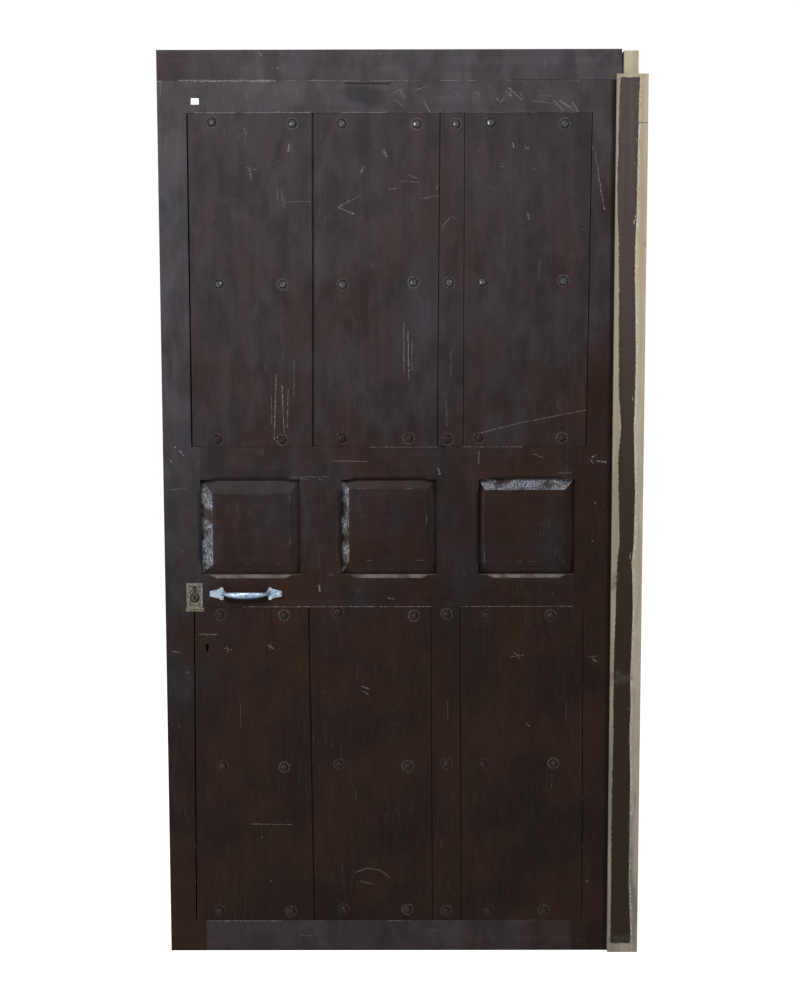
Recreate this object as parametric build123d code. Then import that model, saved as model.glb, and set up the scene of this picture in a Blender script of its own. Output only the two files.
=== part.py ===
from build123d import *
import os
from math import asin, cos, pi, sin

# Framed and boarded door leaf with three raised panels, forged studs and two rim locks, hung on its jamb.
# X runs from the lock edge to the hinge edge, -Y is the front, +Z is up, sizes are millimetres.
# The door is drawn from the leaf's lower front corner on the lock side, its front face at Y = 0.
# At the end everything moves so that the origin is the middle of the whole door's foot.

# Leaf
leaf_width = 1040
leaf_height = 2080
leaf_thickness = 45
top_board_height = 68
top_rail_height = 71
middle_rail_height = 75
bottom_rail_height = 73
lock_rail_level = 821            # floor to the underside of the lower middle rail
panel_opening_height = 221
lock_stile_width = 84
hinge_stile_width = 96
tenon_thickness = 12
tenon_front = 27                 # depth of a tenon's front cheek behind the leaf's face
tenon_shoulder = 10
glue_play = 0.1                  # room round a dowel, a shank or a board's tongue
overrun = 1                      # how far a cut, or a form fused to another, runs on

# Boards, each line of joints given as sizes at the top and at the foot of its field
board_thickness = 22
board_lap = 45                   # how far a rail reaches behind the ends of the boards
board_end_gap = 0.8
tongue_thickness = 6
tongue_length = 9
groove_depth = 10.5
upper_widths = ((284, 279), (285, 284), (55, 59))
upper_reveals = ((65, 65), (64, 71))        # stile seen beside the boards, lock side and hinge side
upper_gaps = (3.5, 5.5, 2.5, 1.7, 2.0)
lower_widths = ((266, 280), (282, 278), (67, 68))
lower_reveals = ((65, 59), (75, 70))
lower_gaps = (3.0, 4.0, 2.0, 2.5, 1.5)
board_names = ("left", "middle", "narrow", "right")

# Ledges behind the boards
ledge_height = 90
ledge_tenon_length = 15
upper_ledge_level = 1564         # centre height
lower_ledge_level = 447

# Panels and the short uprights between them
first_opening_width = 228
second_opening_width = 220
upright_widths = (95, 96)
panel_thickness = 20
panel_field_setback = 4          # field behind the leaf's face
panel_step = 1.5
panel_groove_front = 14
panel_groove_width = 10
panel_groove_depth = 10
panel_tongue = 8
panel_play = 0.5
panel_bevels = ((27, 33, 22, 25), (18, 22, 23, 33), (14, 25, 23, 30))    # left, top, right, foot
chamfer_size = 7
chamfer_stop = 20
chamfer_runout = 14

# Studs: seven in a row, with how far each one strays from its place
stud_radius = 11.5
stud_height = 8.5
stud_inset = 60                  # from the edge of a wide board
shank_width = 6
clinch_length = 16
clinch_thickness = 3
stud_sides = (7, 6, 8, 7, 8, 6, 7)
stud_levels = ((1.0, 0.0), (0.93, 0.28), (0.66, 0.72), (0.26, 1.0))    # shares of the radius and the height
stud_lean = 0.5
stud_unevenness = 0.05
row_strays = {
    "top": ((-3, 3), (14, 0), (4, -1), (8, -2), (8, -2), (-2, 1), (-3, -2)),
    "upper_ledge": ((8, -2), (-9, -3), (7, -4), (3, 1), (-5, 0), (-18, 2), (0, 4)),
    "upper_rail": ((0, -5), (-11, -6), (5, -2), (-6, -3), (-7, -5), (-24, -2), (3, -3)),
    "lower_rail": ((1, 5), (2, 4), (6, 11), (21, 2), (3, 6), (0, 3), (-16, 2)),
    "lower_ledge": ((5, -1), (-4, -4), (4, 2), (4, -2), (1, 4), (-8, 2), (-9, 4)),
    "bottom": ((-4, 1), (5, 0), (9, 6), (1, 5), (-2, 1), (3, 2), (-31, 1)),
}

# Dowels between the top board and the frame
dowel_radius = 6
dowel_length = 60
dowel_end_room = 1
dowel_places = (0.04, 0.34, 0.66, 0.955)    # shares of the leaf's width

# Jamb
jamb_reveal = 70                 # width seen from the front
stop_overlap = 12
stop_thickness = 13
stop_clearance = 0.5
hang_gap = 2.5                   # leaf edge to jamb
jamb_head_drop = 56              # leaf's top to the jamb's shoulder
head_tenon_length = 52
head_tenon_width = 33
head_tenon_thickness = 34
head_tenon_shoulder = 1.5        # beside the leaf, back from the rebate

# Lift-off hinges
hinge_length = 110
hinge_plate_thickness = 2.5
hinge_plate_depth = 33
knuckle_radius = 7
pin_chamfer = 1.2
knuckle_standoff = 8             # pin centre behind the leaf's back
hinge_pin_radius = 4.5
running_play = 0.05
press_play = 0.01
washer_thickness = 2
lift_gap = 0.3
pin_floor = 5
pin_engagement = 38
pin_headroom = 3
plate_screw_spread = 40          # along the plate, from its middle screw
plate_screw_insets = (21, 11)    # from the leaf's back: outer screws, middle screw
lowest_hinge_level = 230
highest_hinge_drop = 300         # leaf's top to the upper hinge's centre

# Screws and dowels, drawn with flats
fastener_sides = 12
screw_play = 0.05
hinge_screw = (26, 2.2, 4.2)     # length, shank radius, head radius
handle_screw = (18, 1.9, 3.6)
slot_width = 0.8
slot_depth = 0.7

# Pull handle
handle_left = 103
handle_length = 166
handle_rise = 32                 # centre above the underside of the lower middle rail
handle_plate_length = 36
handle_plate_thickness = 2.5
handle_reach = 38.5
grip_height = 16
grip_depth = 9
grip_end_height = 6
grip_end_depth = 5
grip_inset = 26
grip_sink = 0.3                  # grip's ends in the end plates, past their middle
grip_stations = 8                # from its middle to each end
lobe_radius = 4.5
lobe_offset = 10.3
lobe_place = 27                  # from the handle's tip
tip_screw_place = 9
tip_half_height = 6
waist_margin = 2                 # end plate beside the grip's end
shoulder_margin = (3, 1.5)       # lobe's centre to the end plate's shoulder
screw_turns = (20, 55, 90)       # how far each slot is turned

# Lock cylinder, fitted with its stem upwards, and the plate round it
cylinder_backset = 68
cylinder_rise = 22.5             # barrel centre above the underside of the lower middle rail
barrel_radius = 8.5
stem_width = 10
stem_reach = 24.5                # barrel centre to the stem's end
plug_radius = 6.5
cylinder_front = 3               # proud of the leaf's face
cylinder_back_proud = 2
cam_gap = 10
cam_play = 0.3
cam_reach = 15.5
cam_width = 8
cam_setback = 9                  # cam gap behind the leaf's back
cam_bore = 4
bridge_start = 16
keyway = (3, 10, 26)             # width, height, depth
fixing_screw_radius = 2.5
fixing_head_radius = 4.5
fixing_head_thickness = 2
fixing_tip_setback = 1
plate_width = 37
plate_above = 34                 # barrel centre to the plate's top
plate_below = 25
plate_thickness = 1.2
plate_rim = 3.5
plate_rim_height = 1.3
plate_hole_radius = 12
plate_stem_width = 11.5
plate_stem_reach = 28
lip_width = 41
lip_height = 6.5
lip_thickness = 0.9
plate_post_radius = 3
plate_post_length = 30
plate_post_offset = 13
plate_post_rises = (28, -18)
plate_bolt_radius = 1.6
plate_bolt_head = 2
timber_hole_play = 1.5

# Rim lock on the back
base_thickness = 2
case_wall = 2
rim_case_left = 3
rim_case_right = 118
rim_case_below = 46              # barrel centre to the case's foot
rim_case_above = 38
rim_case_depth = 26
case_fillet = 3
bolt_play = 0.3
rim_bolt_front = 54              # between the bolt's front and the leaf's face
rim_bolt_thickness = 14
rim_bolt_height = 21
rim_bolt_drop = 18               # barrel centre to the bolt's top
rim_bolt_end = 82
rim_bolt_chamfer = 1.5
bolt_setback = 1                 # bolt's tip behind its case's edge
rim_rib = (50, 54)
rim_rib_margin = 1.5
rim_screw = (44, 2.0, 3.8)
rim_screw_places = ((14, 31), (107, 31), (96, -38))    # across, and above the barrel centre
rim_screw_turn = 40

# Old lock behind the bare keyhole
keyhole_inset = 11               # from the lock stile's inner edge
keyhole_drop = 90.5              # keyhole's round end below the underside of the lower middle rail
keyhole_radius = 4.5
keyhole_slot_width = 5.5
keyhole_slot_reach = 15.5
old_plate_left = 3
old_plate_reach = 63             # beside the keyhole, as are the next reaches
old_plate_above = 57.5
old_plate_below = 46.5
old_case_reach = 51
old_case_above = 45.5
old_case_below = 33.5
old_case_depth = 22
old_case_wall = 2.5
old_bolt_setback = 7             # bolt behind the leaf's back
old_bolt_thickness = 10
old_bolt_height = 24
old_bolt_rise = 11.5             # keyhole centre to the bolt's underside
old_bolt_reach = 37
old_bolt_notch = (10, 5)
old_rib = (58, 62)
old_rib_margin = 4
key_post_radius = 2.5
key_post_gap = 4                 # from the leaf's back to the post's tip
nail_head_radius = 4.5
nail_head_height = 2.5
nail_radius = 1.8
nail_length = 19
nail_hole_length = 20
nail_edge = 6.5
nail_far_edge = 28
lock_block_reach = 70
lock_block_below = 54.5          # keyhole centre to the block's foot

# Levels and places that follow
leaf_back = leaf_thickness
hinge_stile_face = leaf_width - hinge_stile_width
frame_top = leaf_height - top_board_height
top_rail_low = frame_top - top_rail_height
lower_rail_low = lock_rail_level
lower_rail_high = lower_rail_low + middle_rail_height
upper_rail_low = lower_rail_high + panel_opening_height
upper_rail_high = upper_rail_low + middle_rail_height
jamb_height = leaf_height - jamb_head_drop
stop_edge = leaf_width - stop_overlap
jamb_right = stop_edge + jamb_reveal
rebate_face = leaf_width + hang_gap
pin_x = leaf_width + hang_gap / 2
pin_y = leaf_back + knuckle_standoff
panel_groove_back = panel_groove_front + panel_groove_width
barrel_z = lower_rail_low + cylinder_rise
case_back = leaf_back + base_thickness + rim_case_depth
cylinder_end = case_back + cylinder_back_proud
cam_front = leaf_back + cam_setback
keyhole_z = lower_rail_low - keyhole_drop
keyhole_place = lock_stile_width + keyhole_inset
old_plate_right = keyhole_place + old_plate_reach


def block(x_low, x_high, y_low, y_high, z_low, z_high):
    """Box between two corners."""
    middle = Pos((x_low + x_high) / 2, (y_low + y_high) / 2, (z_low + z_high) / 2)
    return middle * Box(x_high - x_low, y_high - y_low, z_high - z_low)


def prism(outline, y_front, y_back):
    """Solid whose outline is drawn in X and Z, between two depths."""
    return extrude(Plane.XZ.offset(-y_back) * outline, amount=y_back - y_front, dir=(0, -1, 0))


def rod_y(x, z, radius, y_front, y_back):
    """Round bar along Y."""
    return prism(Pos(x, z) * Circle(radius), y_front, y_back)


def rod_z(x, y, radius, z_low, z_high):
    """Round bar along Z."""
    return Pos(x, y, (z_low + z_high) / 2) * Cylinder(radius, z_high - z_low)


def flat_sided(radius):
    """Outline of a screw, bolt, nail or dowel."""
    return RegularPolygon(radius, fastener_sides)


def bar_y(x, z, radius, y_front, y_back):
    """Flat-sided bar along Y."""
    return prism(Pos(x, z) * flat_sided(radius), y_front, y_back)


def bar_z(x, y, radius, z_low, z_high):
    """Flat-sided bar along Z."""
    return Pos(x, y, z_low) * extrude(flat_sided(radius), amount=z_high - z_low)


def faceted(rings):
    """Solid with flat faces between rings of points that have matching corners, closed at both ends."""
    faces = [Face(Wire.make_polygon(ring, close=True)) for ring in (rings[0], rings[-1])]
    for lower, upper in zip(rings, rings[1:]):
        for index in range(len(lower)):
            corners = (lower[index - 1], lower[index], upper[index], upper[index - 1])
            distinct = [corner for place, corner in enumerate(corners) if corner != corners[place - 1]]
            faces.append(Face(Wire.make_polygon(distinct, close=True)))
    return Solid(Shell(faces))


def screw_shape(length, shank_radius, head_radius, play=0.0):
    """Countersunk screw with its head's top at zero, pointing down; with play it is the hole for one."""
    cone_height = head_radius - shank_radius
    shank = extrude(flat_sided(shank_radius + play), amount=-length)
    mouth = flat_sided(head_radius + play)
    throat = Pos(0, 0, -cone_height) * flat_sided(shank_radius + play)
    rings = [[tuple(vertex) for vertex in outline.vertices()] for outline in (mouth, throat)]
    return shank + faceted(rings)


def screw(length, shank_radius, head_radius):
    """Slotted countersunk screw with its head's top at zero, pointing down."""
    slot = Pos(0, 0, -slot_depth / 2) * Box(3 * head_radius, slot_width, slot_depth)
    return screw_shape(length, shank_radius, head_radius) - slot


def row_of(pieces):
    """Like pieces that are made as one."""
    return Compound([piece.solid() for piece in pieces])


def facing(x, y, z, outward, turn=0.0):
    """Place for a screw whose head looks along the outward direction."""
    return Plane(origin=(x, y, z), z_dir=outward).location * Rot(0, 0, turn)


# Fields of boards
class BoardField:
    """Four boards between two rails, with joints that lean a little."""

    def __init__(self, low, high, reveals, widths, gaps):
        self.low = low
        self.high = high
        self.gaps = gaps
        top, foot = reveals[0]
        self.lines = [(top, foot)]
        for top_width, foot_width in widths:
            top += top_width
            foot += foot_width
            self.lines.append((top, foot))
        self.lines.append((leaf_width - reveals[1][0], leaf_width - reveals[1][1]))

    def line_at(self, index, z):
        """X of a joint line at a height."""
        top, foot = self.lines[index]
        return foot + (top - foot) * (z - self.low) / (self.high - self.low)

    def strip(self, left, left_shift, right, right_shift, y_front, y_back, end_gap=0.0):
        """Solid between two joint lines, each shifted sideways."""
        low = self.low + end_gap
        high = self.high - end_gap
        corners = [
            (self.line_at(left, low) + left_shift, low),
            (self.line_at(right, low) + right_shift, low),
            (self.line_at(right, high) + right_shift, high),
            (self.line_at(left, high) + left_shift, high),
        ]
        return prism(Polygon(*corners, align=None), y_front, y_back)

    def edge_shift(self, index):
        """Half a joint's gap; at the stiles the board stands off by the whole gap."""
        if index in (0, len(self.lines) - 1):
            return self.gaps[index]
        return self.gaps[index] / 2

    def board(self, index):
        """One board with a tongue on its right edge and a groove in its left edge."""
        left = self.edge_shift(index)
        right = -self.edge_shift(index + 1)
        tongue_front = (board_thickness - tongue_thickness) / 2
        tongue_back = tongue_front + tongue_thickness
        board = self.strip(index, left, index + 1, right, 0, board_thickness, board_end_gap)
        if index < len(self.lines) - 2:
            reach = right + tongue_length
            board += self.strip(
                index + 1, right - overrun, index + 1, reach, tongue_front, tongue_back, board_end_gap
            )
        if index > 0:
            reach = left + groove_depth
            board -= self.strip(
                index, left - overrun, index, reach, tongue_front - glue_play, tongue_back + glue_play
            )
        return board

    def rebates(self):
        """What the stiles lose so that the boards lie flush between them."""
        last = len(self.lines) - 1
        lock_side = self.strip(0, 0, 1, 0, 0, board_thickness)
        hinge_side = self.strip(last - 1, 0, last, 0, 0, board_thickness)
        return lock_side, hinge_side


upper_field = BoardField(upper_rail_high, top_rail_low, upper_reveals, upper_widths, upper_gaps)
lower_field = BoardField(bottom_rail_height, lower_rail_low, lower_reveals, lower_widths, lower_gaps)

# Openings for the panels, as left edge and right edge
first_left = lock_stile_width
first_right = first_left + first_opening_width
second_left = first_right + upright_widths[0]
second_right = second_left + second_opening_width
third_left = second_right + upright_widths[1]
panel_openings = ((first_left, first_right), (second_left, second_right), (third_left, hinge_stile_face))


def stopped_chamfer(start, end, into):
    """Cutter that bevels an opening's edge and runs out to nothing before both corners."""
    first = Vector(*start)
    along = Vector(*end) - first
    length = along.length
    along = along.normalized()
    inward = Vector(*into)
    back = Vector(0, 1, 0)
    full = chamfer_stop + chamfer_runout
    stations = (
        (chamfer_stop, 0),
        (full, chamfer_size),
        (length - full, chamfer_size),
        (length - chamfer_stop, 0),
    )
    sections = []
    for distance, size in stations:
        edge = first + along * distance - (inward + back) * overrun
        far = size + 2 * overrun
        corners = [edge, edge + inward * far, edge + back * far]
        sections.append([tuple(corner) for corner in corners])
    return faceted(sections)


def opening_chamfers(left, right):
    """The four bevels round one panel opening: lock side, hinge side, foot and head."""
    low = lower_rail_high
    high = upper_rail_low
    return [
        stopped_chamfer((left, 0, low), (left, 0, high), (-1, 0, 0)),
        stopped_chamfer((right, 0, low), (right, 0, high), (1, 0, 0)),
        stopped_chamfer((left, 0, low), (right, 0, low), (0, 0, -1)),
        stopped_chamfer((left, 0, high), (right, 0, high), (0, 0, 1)),
    ]


def rail(low, high, lap_down=0, lap_up=0):
    """Rail with its tenons, and a lap behind the board ends where it has one."""
    body = block(lock_stile_width, hinge_stile_face, 0, leaf_back, low, high)
    low -= lap_down
    high += lap_up
    body += block(lock_stile_width, hinge_stile_face, board_thickness, leaf_back, low, high)
    return body + rail_tenon(low, high)


def rail_tenon(low, high):
    """Tenon that goes right through both stiles."""
    tenon_back = tenon_front + tenon_thickness
    return block(0, leaf_width, tenon_front, tenon_back, low + tenon_shoulder, high - tenon_shoulder)


def ledge_tenon(level):
    """Stub tenons of a ledge, as one bar."""
    reach = ledge_tenon_length
    tenon_back = tenon_front + tenon_thickness
    half = ledge_height / 2 - tenon_shoulder
    left = lock_stile_width - reach
    right = hinge_stile_face + reach
    return block(left, right, tenon_front, tenon_back, level - half, level + half)


def ledge(level):
    """Board across the back, behind a row of studs."""
    low = level - ledge_height / 2
    high = level + ledge_height / 2
    body = block(lock_stile_width, hinge_stile_face, board_thickness, leaf_back, low, high)
    return body + ledge_tenon(level)


def panel_groove_x(edge, outward):
    """Upright groove for panel edges, cut outward from an opening's side."""
    far = edge + outward * panel_groove_depth
    low = lower_rail_high - panel_groove_depth
    high = upper_rail_low + panel_groove_depth
    return block(min(edge, far), max(edge, far), panel_groove_front, panel_groove_back, low, high)


def panel_groove_z(edge, outward):
    """Level groove for panel edges along a rail."""
    far = edge + outward * panel_groove_depth
    low = min(edge, far)
    high = max(edge, far)
    return block(lock_stile_width, hinge_stile_face, panel_groove_front, panel_groove_back, low, high)


def upright(left, right):
    """Short upright between two panels, with stub tenons in the rails' grooves."""
    body = block(left, right, 0, leaf_back, lower_rail_high, upper_rail_low)
    body -= panel_groove_x(left, 1)
    body -= panel_groove_x(right, -1)
    stub = panel_groove_depth - panel_play
    body += block(
        left + panel_groove_depth,
        right - panel_groove_depth,
        panel_groove_front,
        panel_groove_back,
        lower_rail_high - stub,
        upper_rail_low + stub,
    )
    return body


def rectangle_corners(left, right, low, high, y):
    """Corners of a rectangle that stands upright at one depth."""
    return [(left, y, low), (right, y, low), (right, y, high), (left, y, high)]


def raised_panel(left, right, bevels):
    """Panel with a field raised above uneven bevels, and a tongue all round in the frame's grooves."""
    low = lower_rail_high
    high = upper_rail_low
    bevel_left, bevel_top, bevel_right, bevel_foot = bevels
    field_left = left + bevel_left
    field_right = right - bevel_right
    field_low = low + bevel_foot
    field_high = high - bevel_top
    front = panel_groove_front + panel_play / 2
    back = panel_groove_back - panel_play / 2
    shoulder = panel_field_setback + panel_step
    tongue = block(
        left - panel_tongue, right + panel_tongue, front, back, low - panel_tongue, high + panel_tongue
    )
    foot = rectangle_corners(
        left + panel_play, right - panel_play, low + panel_play, high - panel_play, front
    )
    crest = rectangle_corners(field_left, field_right, field_low, field_high, shoulder)
    bevelled = faceted([foot, crest])
    field = block(field_left, field_right, panel_field_setback, front, field_low, field_high)
    rear = block(
        left + panel_play,
        right - panel_play,
        front,
        panel_field_setback + panel_thickness + panel_step,
        low + panel_play,
        high - panel_play,
    )
    return tongue + bevelled + field + rear


# Studs
def stud_places(name, field, level):
    """Where a row's seven studs go: two on each wide board and one on the narrow board."""
    ideal = [
        field.line_at(0, level) + stud_inset,
        field.line_at(1, level) - stud_inset,
        field.line_at(1, level) + stud_inset,
        field.line_at(2, level) - stud_inset,
        (field.line_at(2, level) + field.line_at(3, level)) / 2,
        field.line_at(3, level) + stud_inset,
        field.line_at(4, level) - stud_inset,
    ]
    return [(x + stray[0], level + stray[1]) for x, stray in zip(ideal, row_strays[name])]


def stud(x, z, index):
    """Forged stud: an uneven faceted head, and a square shank bent over at the back."""
    sides = stud_sides[index]
    lean = stud_lean * cos(index)
    size = stud_radius * (1 + stud_unevenness * sin(index + z))
    angles = [2 * pi * side / sides + index for side in range(sides)]
    rings = []
    for share, rise in stud_levels:
        middle_x = x + lean * rise
        middle_z = z - lean * rise
        radius = size * share
        rings.append(
            [(middle_x + radius * cos(a), -stud_height * rise, middle_z + radius * sin(a)) for a in angles]
        )
    half = shank_width / 2
    shank_end = leaf_back + clinch_thickness
    bent_shank = [
        (0, z - half),
        (shank_end, z - half),
        (shank_end, z + clinch_length),
        (leaf_back, z + clinch_length),
        (leaf_back, z + half),
        (0, z + half),
    ]
    profile = Plane.YZ.offset(x - half) * Polygon(*bent_shank, align=None)
    return faceted(rings) + extrude(profile, amount=shank_width, dir=(1, 0, 0))


def shank_hole(x, z):
    """Square hole for a stud's shank."""
    half = shank_width / 2 + glue_play
    return block(x - half, x + half, 0, leaf_back, z - half, z + half)


rows = {
    "top": (upper_field, top_rail_low - board_lap / 2),
    "upper_ledge": (upper_field, upper_ledge_level),
    "upper_rail": (upper_field, upper_rail_high + board_lap / 2),
    "lower_rail": (lower_field, lower_rail_low - board_lap / 2),
    "lower_ledge": (lower_field, lower_ledge_level),
    "bottom": (lower_field, bottom_rail_height + board_lap / 2),
}
places = {name: stud_places(name, field, level) for name, (field, level) in rows.items()}
stud_holes = {name: [shank_hole(x, z) for x, z in row] for name, row in places.items()}
upper_holes = stud_holes["top"] + stud_holes["upper_ledge"] + stud_holes["upper_rail"]
lower_holes = stud_holes["lower_rail"] + stud_holes["lower_ledge"] + stud_holes["bottom"]


# Locks
def cylinder_outline(radius, width, reach):
    """Round barrel with a stem above it."""
    x = cylinder_backset
    stem_middle = reach - width / 2
    outline = Pos(x, barrel_z) * Circle(radius)
    outline += Pos(x, barrel_z + stem_middle / 2) * Rectangle(width, stem_middle)
    return outline + Pos(x, barrel_z + stem_middle) * Circle(width / 2)


def keyhole_cut(y_front, y_back):
    """Old keyhole: a round end with a slot below it."""
    outline = Pos(keyhole_place, keyhole_z) * Circle(keyhole_radius)
    outline += Pos(keyhole_place, keyhole_z - keyhole_slot_reach / 2) * Rectangle(
        keyhole_slot_width, keyhole_slot_reach
    )
    return prism(outline, y_front, y_back)


def plate_post_places():
    """The two posts on the back of the cylinder's plate, set across from each other."""
    signs = (1, -1)
    return [
        (cylinder_backset + sign * plate_post_offset, barrel_z + rise)
        for sign, rise in zip(signs, plate_post_rises)
    ]


def rim_screw_centres():
    """Screws through the rim lock's case."""
    return [(x, barrel_z + rise) for x, rise in rim_screw_places]


def nail_centres():
    """Nails in the old lock's base, outside its case."""
    low = keyhole_z - old_plate_below + nail_edge
    high = keyhole_z + old_plate_above - nail_edge
    near = old_plate_left + nail_far_edge / 2
    far = old_plate_right - nail_far_edge
    return [(near, low), (far, low), (near, high), (old_plate_right - nail_edge, keyhole_z + nail_edge)]


timber_outline = cylinder_outline(
    barrel_radius + timber_hole_play, stem_width + timber_hole_play, stem_reach + timber_hole_play
)
lock_cuts = [prism(timber_outline, 0, leaf_back)]
for x, z in plate_post_places():
    lock_cuts.append(bar_y(x, z, plate_post_radius + screw_play, 0, leaf_back))
for x, z in rim_screw_centres():
    seat = facing(x, case_back, z, (0, 1, 0), rim_screw_turn)
    lock_cuts.append(seat * screw_shape(*rim_screw, screw_play))
for x, z in nail_centres():
    lock_cuts.append(bar_y(x, z, nail_radius + screw_play, leaf_back - nail_hole_length, leaf_back))


# Hinges
def hinge_levels():
    """Centre heights of the three hinges; the middle one is level with the panels."""
    return (lowest_hinge_level, (lower_rail_high + upper_rail_low) / 2, leaf_height - highest_hinge_drop)


def hinge_screw_places(level):
    """Three screws down each hinge plate, staggered."""
    outer, inner = plate_screw_insets
    front = leaf_back - outer
    back = leaf_back - inner
    return [(front, level - plate_screw_spread), (back, level), (front, level + plate_screw_spread)]


def hinge_recess(x_low, x_high, level):
    """Recess in an edge for one hinge plate."""
    half = hinge_length / 2
    return block(x_low, x_high, leaf_back - hinge_plate_depth, leaf_back, level - half, level + half)


def hinge_half(x_low, x_high, level, knuckle_low, knuckle_high, bore_low, bore_high, bore_radius, outward):
    """Plate let into an edge, with its neck and knuckle on one half of the height."""
    plate = hinge_recess(x_low, x_high, level)
    for y, z in hinge_screw_places(level):
        face = x_high if outward > 0 else x_low
        plate -= facing(face, y, z, (outward, 0, 0)) * screw_shape(*hinge_screw, screw_play)
    knuckle = rod_z(pin_x, pin_y, knuckle_radius, knuckle_low, knuckle_high)
    neck = block(x_low, x_high, leaf_back - overrun, pin_y, knuckle_low, knuckle_high)
    return plate + neck + knuckle - rod_z(pin_x, pin_y, bore_radius, bore_low, bore_high)


def hinge(level):
    """The pieces of one lift-off hinge: leaf half, jamb half, pin and washer."""
    low = level - hinge_length / 2
    high = level + hinge_length / 2
    washer_low = level - washer_thickness / 2
    washer_high = level + washer_thickness / 2
    pin_low = low + pin_floor
    pin_high = washer_high + pin_engagement
    leaf_half = hinge_half(
        leaf_width - hinge_plate_thickness, leaf_width, level,
        washer_high + lift_gap, high,
        washer_high + lift_gap, pin_high + pin_headroom, hinge_pin_radius + running_play, 1,
    )
    jamb_half = hinge_half(
        rebate_face, rebate_face + hinge_plate_thickness, level,
        low, washer_low,
        pin_low, washer_low, hinge_pin_radius + press_play, -1,
    )
    pin = rod_z(pin_x, pin_y, hinge_pin_radius, pin_low, pin_high)
    pin = chamfer(pin.edges().filter_by(GeomType.CIRCLE).sort_by(Axis.Z)[-1:], pin_chamfer)
    washer = rod_z(pin_x, pin_y, knuckle_radius, washer_low, washer_high)
    washer -= rod_z(pin_x, pin_y, hinge_pin_radius + running_play, washer_low, washer_high)
    return leaf_half, jamb_half, pin, washer


leaf_recesses = []
jamb_recesses = []
leaf_screw_seats = []
jamb_screw_seats = []
for level in hinge_levels():
    leaf_recesses.append(hinge_recess(leaf_width - hinge_plate_thickness, leaf_width, level))
    jamb_recesses.append(hinge_recess(rebate_face, rebate_face + hinge_plate_thickness, level))
    for y, z in hinge_screw_places(level):
        leaf_screw_seats.append(facing(leaf_width, y, z, (1, 0, 0)))
        jamb_screw_seats.append(facing(rebate_face, y, z, (-1, 0, 0)))
leaf_screw_holes = [seat * screw_shape(*hinge_screw, screw_play) for seat in leaf_screw_seats]
jamb_screw_holes = [seat * screw_shape(*hinge_screw, screw_play) for seat in jamb_screw_seats]


# Handle
def handle_screw_seats():
    """Three screws at each end of the handle, as places with their heads to the front."""
    level = lower_rail_low + handle_rise
    seats = []
    for end, sign in ((handle_left, 1), (handle_left + handle_length, -1)):
        spots = ((tip_screw_place, 0), (lobe_place, lobe_offset), (lobe_place, -lobe_offset))
        for (along, up), turn in zip(spots, screw_turns):
            x = end + sign * along
            seats.append(facing(x, -handle_plate_thickness, level + up, (0, -1, 0), turn))
    return seats


def handle_end(tip_x, sign):
    """Arrow-shaped end plate with a blunt tip and two round lobes."""
    level = lower_rail_low + handle_rise
    waist = grip_end_height / 2 + waist_margin
    shoulder_back, shoulder_up = shoulder_margin
    shoulder = (lobe_place - shoulder_back, lobe_offset + shoulder_up)
    upper_side = [(0, tip_half_height), shoulder, (handle_plate_length, waist)]
    corners = upper_side + [(along, -up) for along, up in reversed(upper_side)]
    outline = Polygon(*[(tip_x + sign * along, level + up) for along, up in corners], align=None)
    for up in (lobe_offset, -lobe_offset):
        outline += Pos(tip_x + sign * lobe_place, level + up) * Circle(lobe_radius)
    return prism(outline, -handle_plate_thickness, 0)


def handle_grip():
    """Bow that swells from thin ends to a broad middle, along an arc."""
    level = lower_rail_low + handle_rise
    middle = handle_left + handle_length / 2
    half_span = handle_length / 2 - grip_inset
    end_y = -handle_plate_thickness / 2 - grip_sink
    rise = handle_reach - grip_depth / 2 + end_y
    radius = (half_span ** 2 + rise ** 2) / (2 * rise)
    reach = asin(half_span / radius)
    centre_y = radius - handle_reach + grip_depth / 2
    sections = []
    for station in range(-grip_stations, grip_stations + 1):
        share = station / grip_stations
        angle = share * reach
        swell = cos(share * pi / 2)
        place = Plane(
            origin=(middle + radius * sin(angle), centre_y - radius * cos(angle), level),
            x_dir=(0, 0, 1),
            z_dir=(cos(angle), sin(angle), 0),
        )
        half_height = (grip_end_height + (grip_height - grip_end_height) * swell) / 2
        half_depth = (grip_end_depth + (grip_depth - grip_end_depth) * swell) / 2
        sections.append(place * Ellipse(half_height, half_depth))
    return loft(sections, ruled=True)


parts = {}

# Leaf timber
lock_rebates = []
hinge_rebates = []
for field in (upper_field, lower_field):
    lock_side, hinge_side = field.rebates()
    lock_rebates.append(lock_side)
    hinge_rebates.append(hinge_side)

tenons = [
    rail_tenon(top_rail_low - board_lap, frame_top),
    rail_tenon(upper_rail_low, upper_rail_high + board_lap),
    rail_tenon(lower_rail_low - board_lap, lower_rail_high),
    rail_tenon(0, bottom_rail_height + board_lap),
    ledge_tenon(upper_ledge_level),
    ledge_tenon(lower_ledge_level),
]
chamfer_cuts = []
for left, right in panel_openings:
    chamfer_cuts += opening_chamfers(left, right)

dowels = []
dowel_holes = []
for share in dowel_places:
    spot = (share * leaf_width, leaf_back / 2)
    low = frame_top - dowel_length / 2
    high = frame_top + dowel_length / 2
    dowels.append(bar_z(*spot, dowel_radius, low, high))
    hole_ends = (low - dowel_end_room, high + dowel_end_room)
    dowel_holes.append(bar_z(*spot, dowel_radius + glue_play, *hole_ends))

handle_screw_holes = [seat * screw_shape(*handle_screw, screw_play) for seat in handle_screw_seats()]

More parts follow.
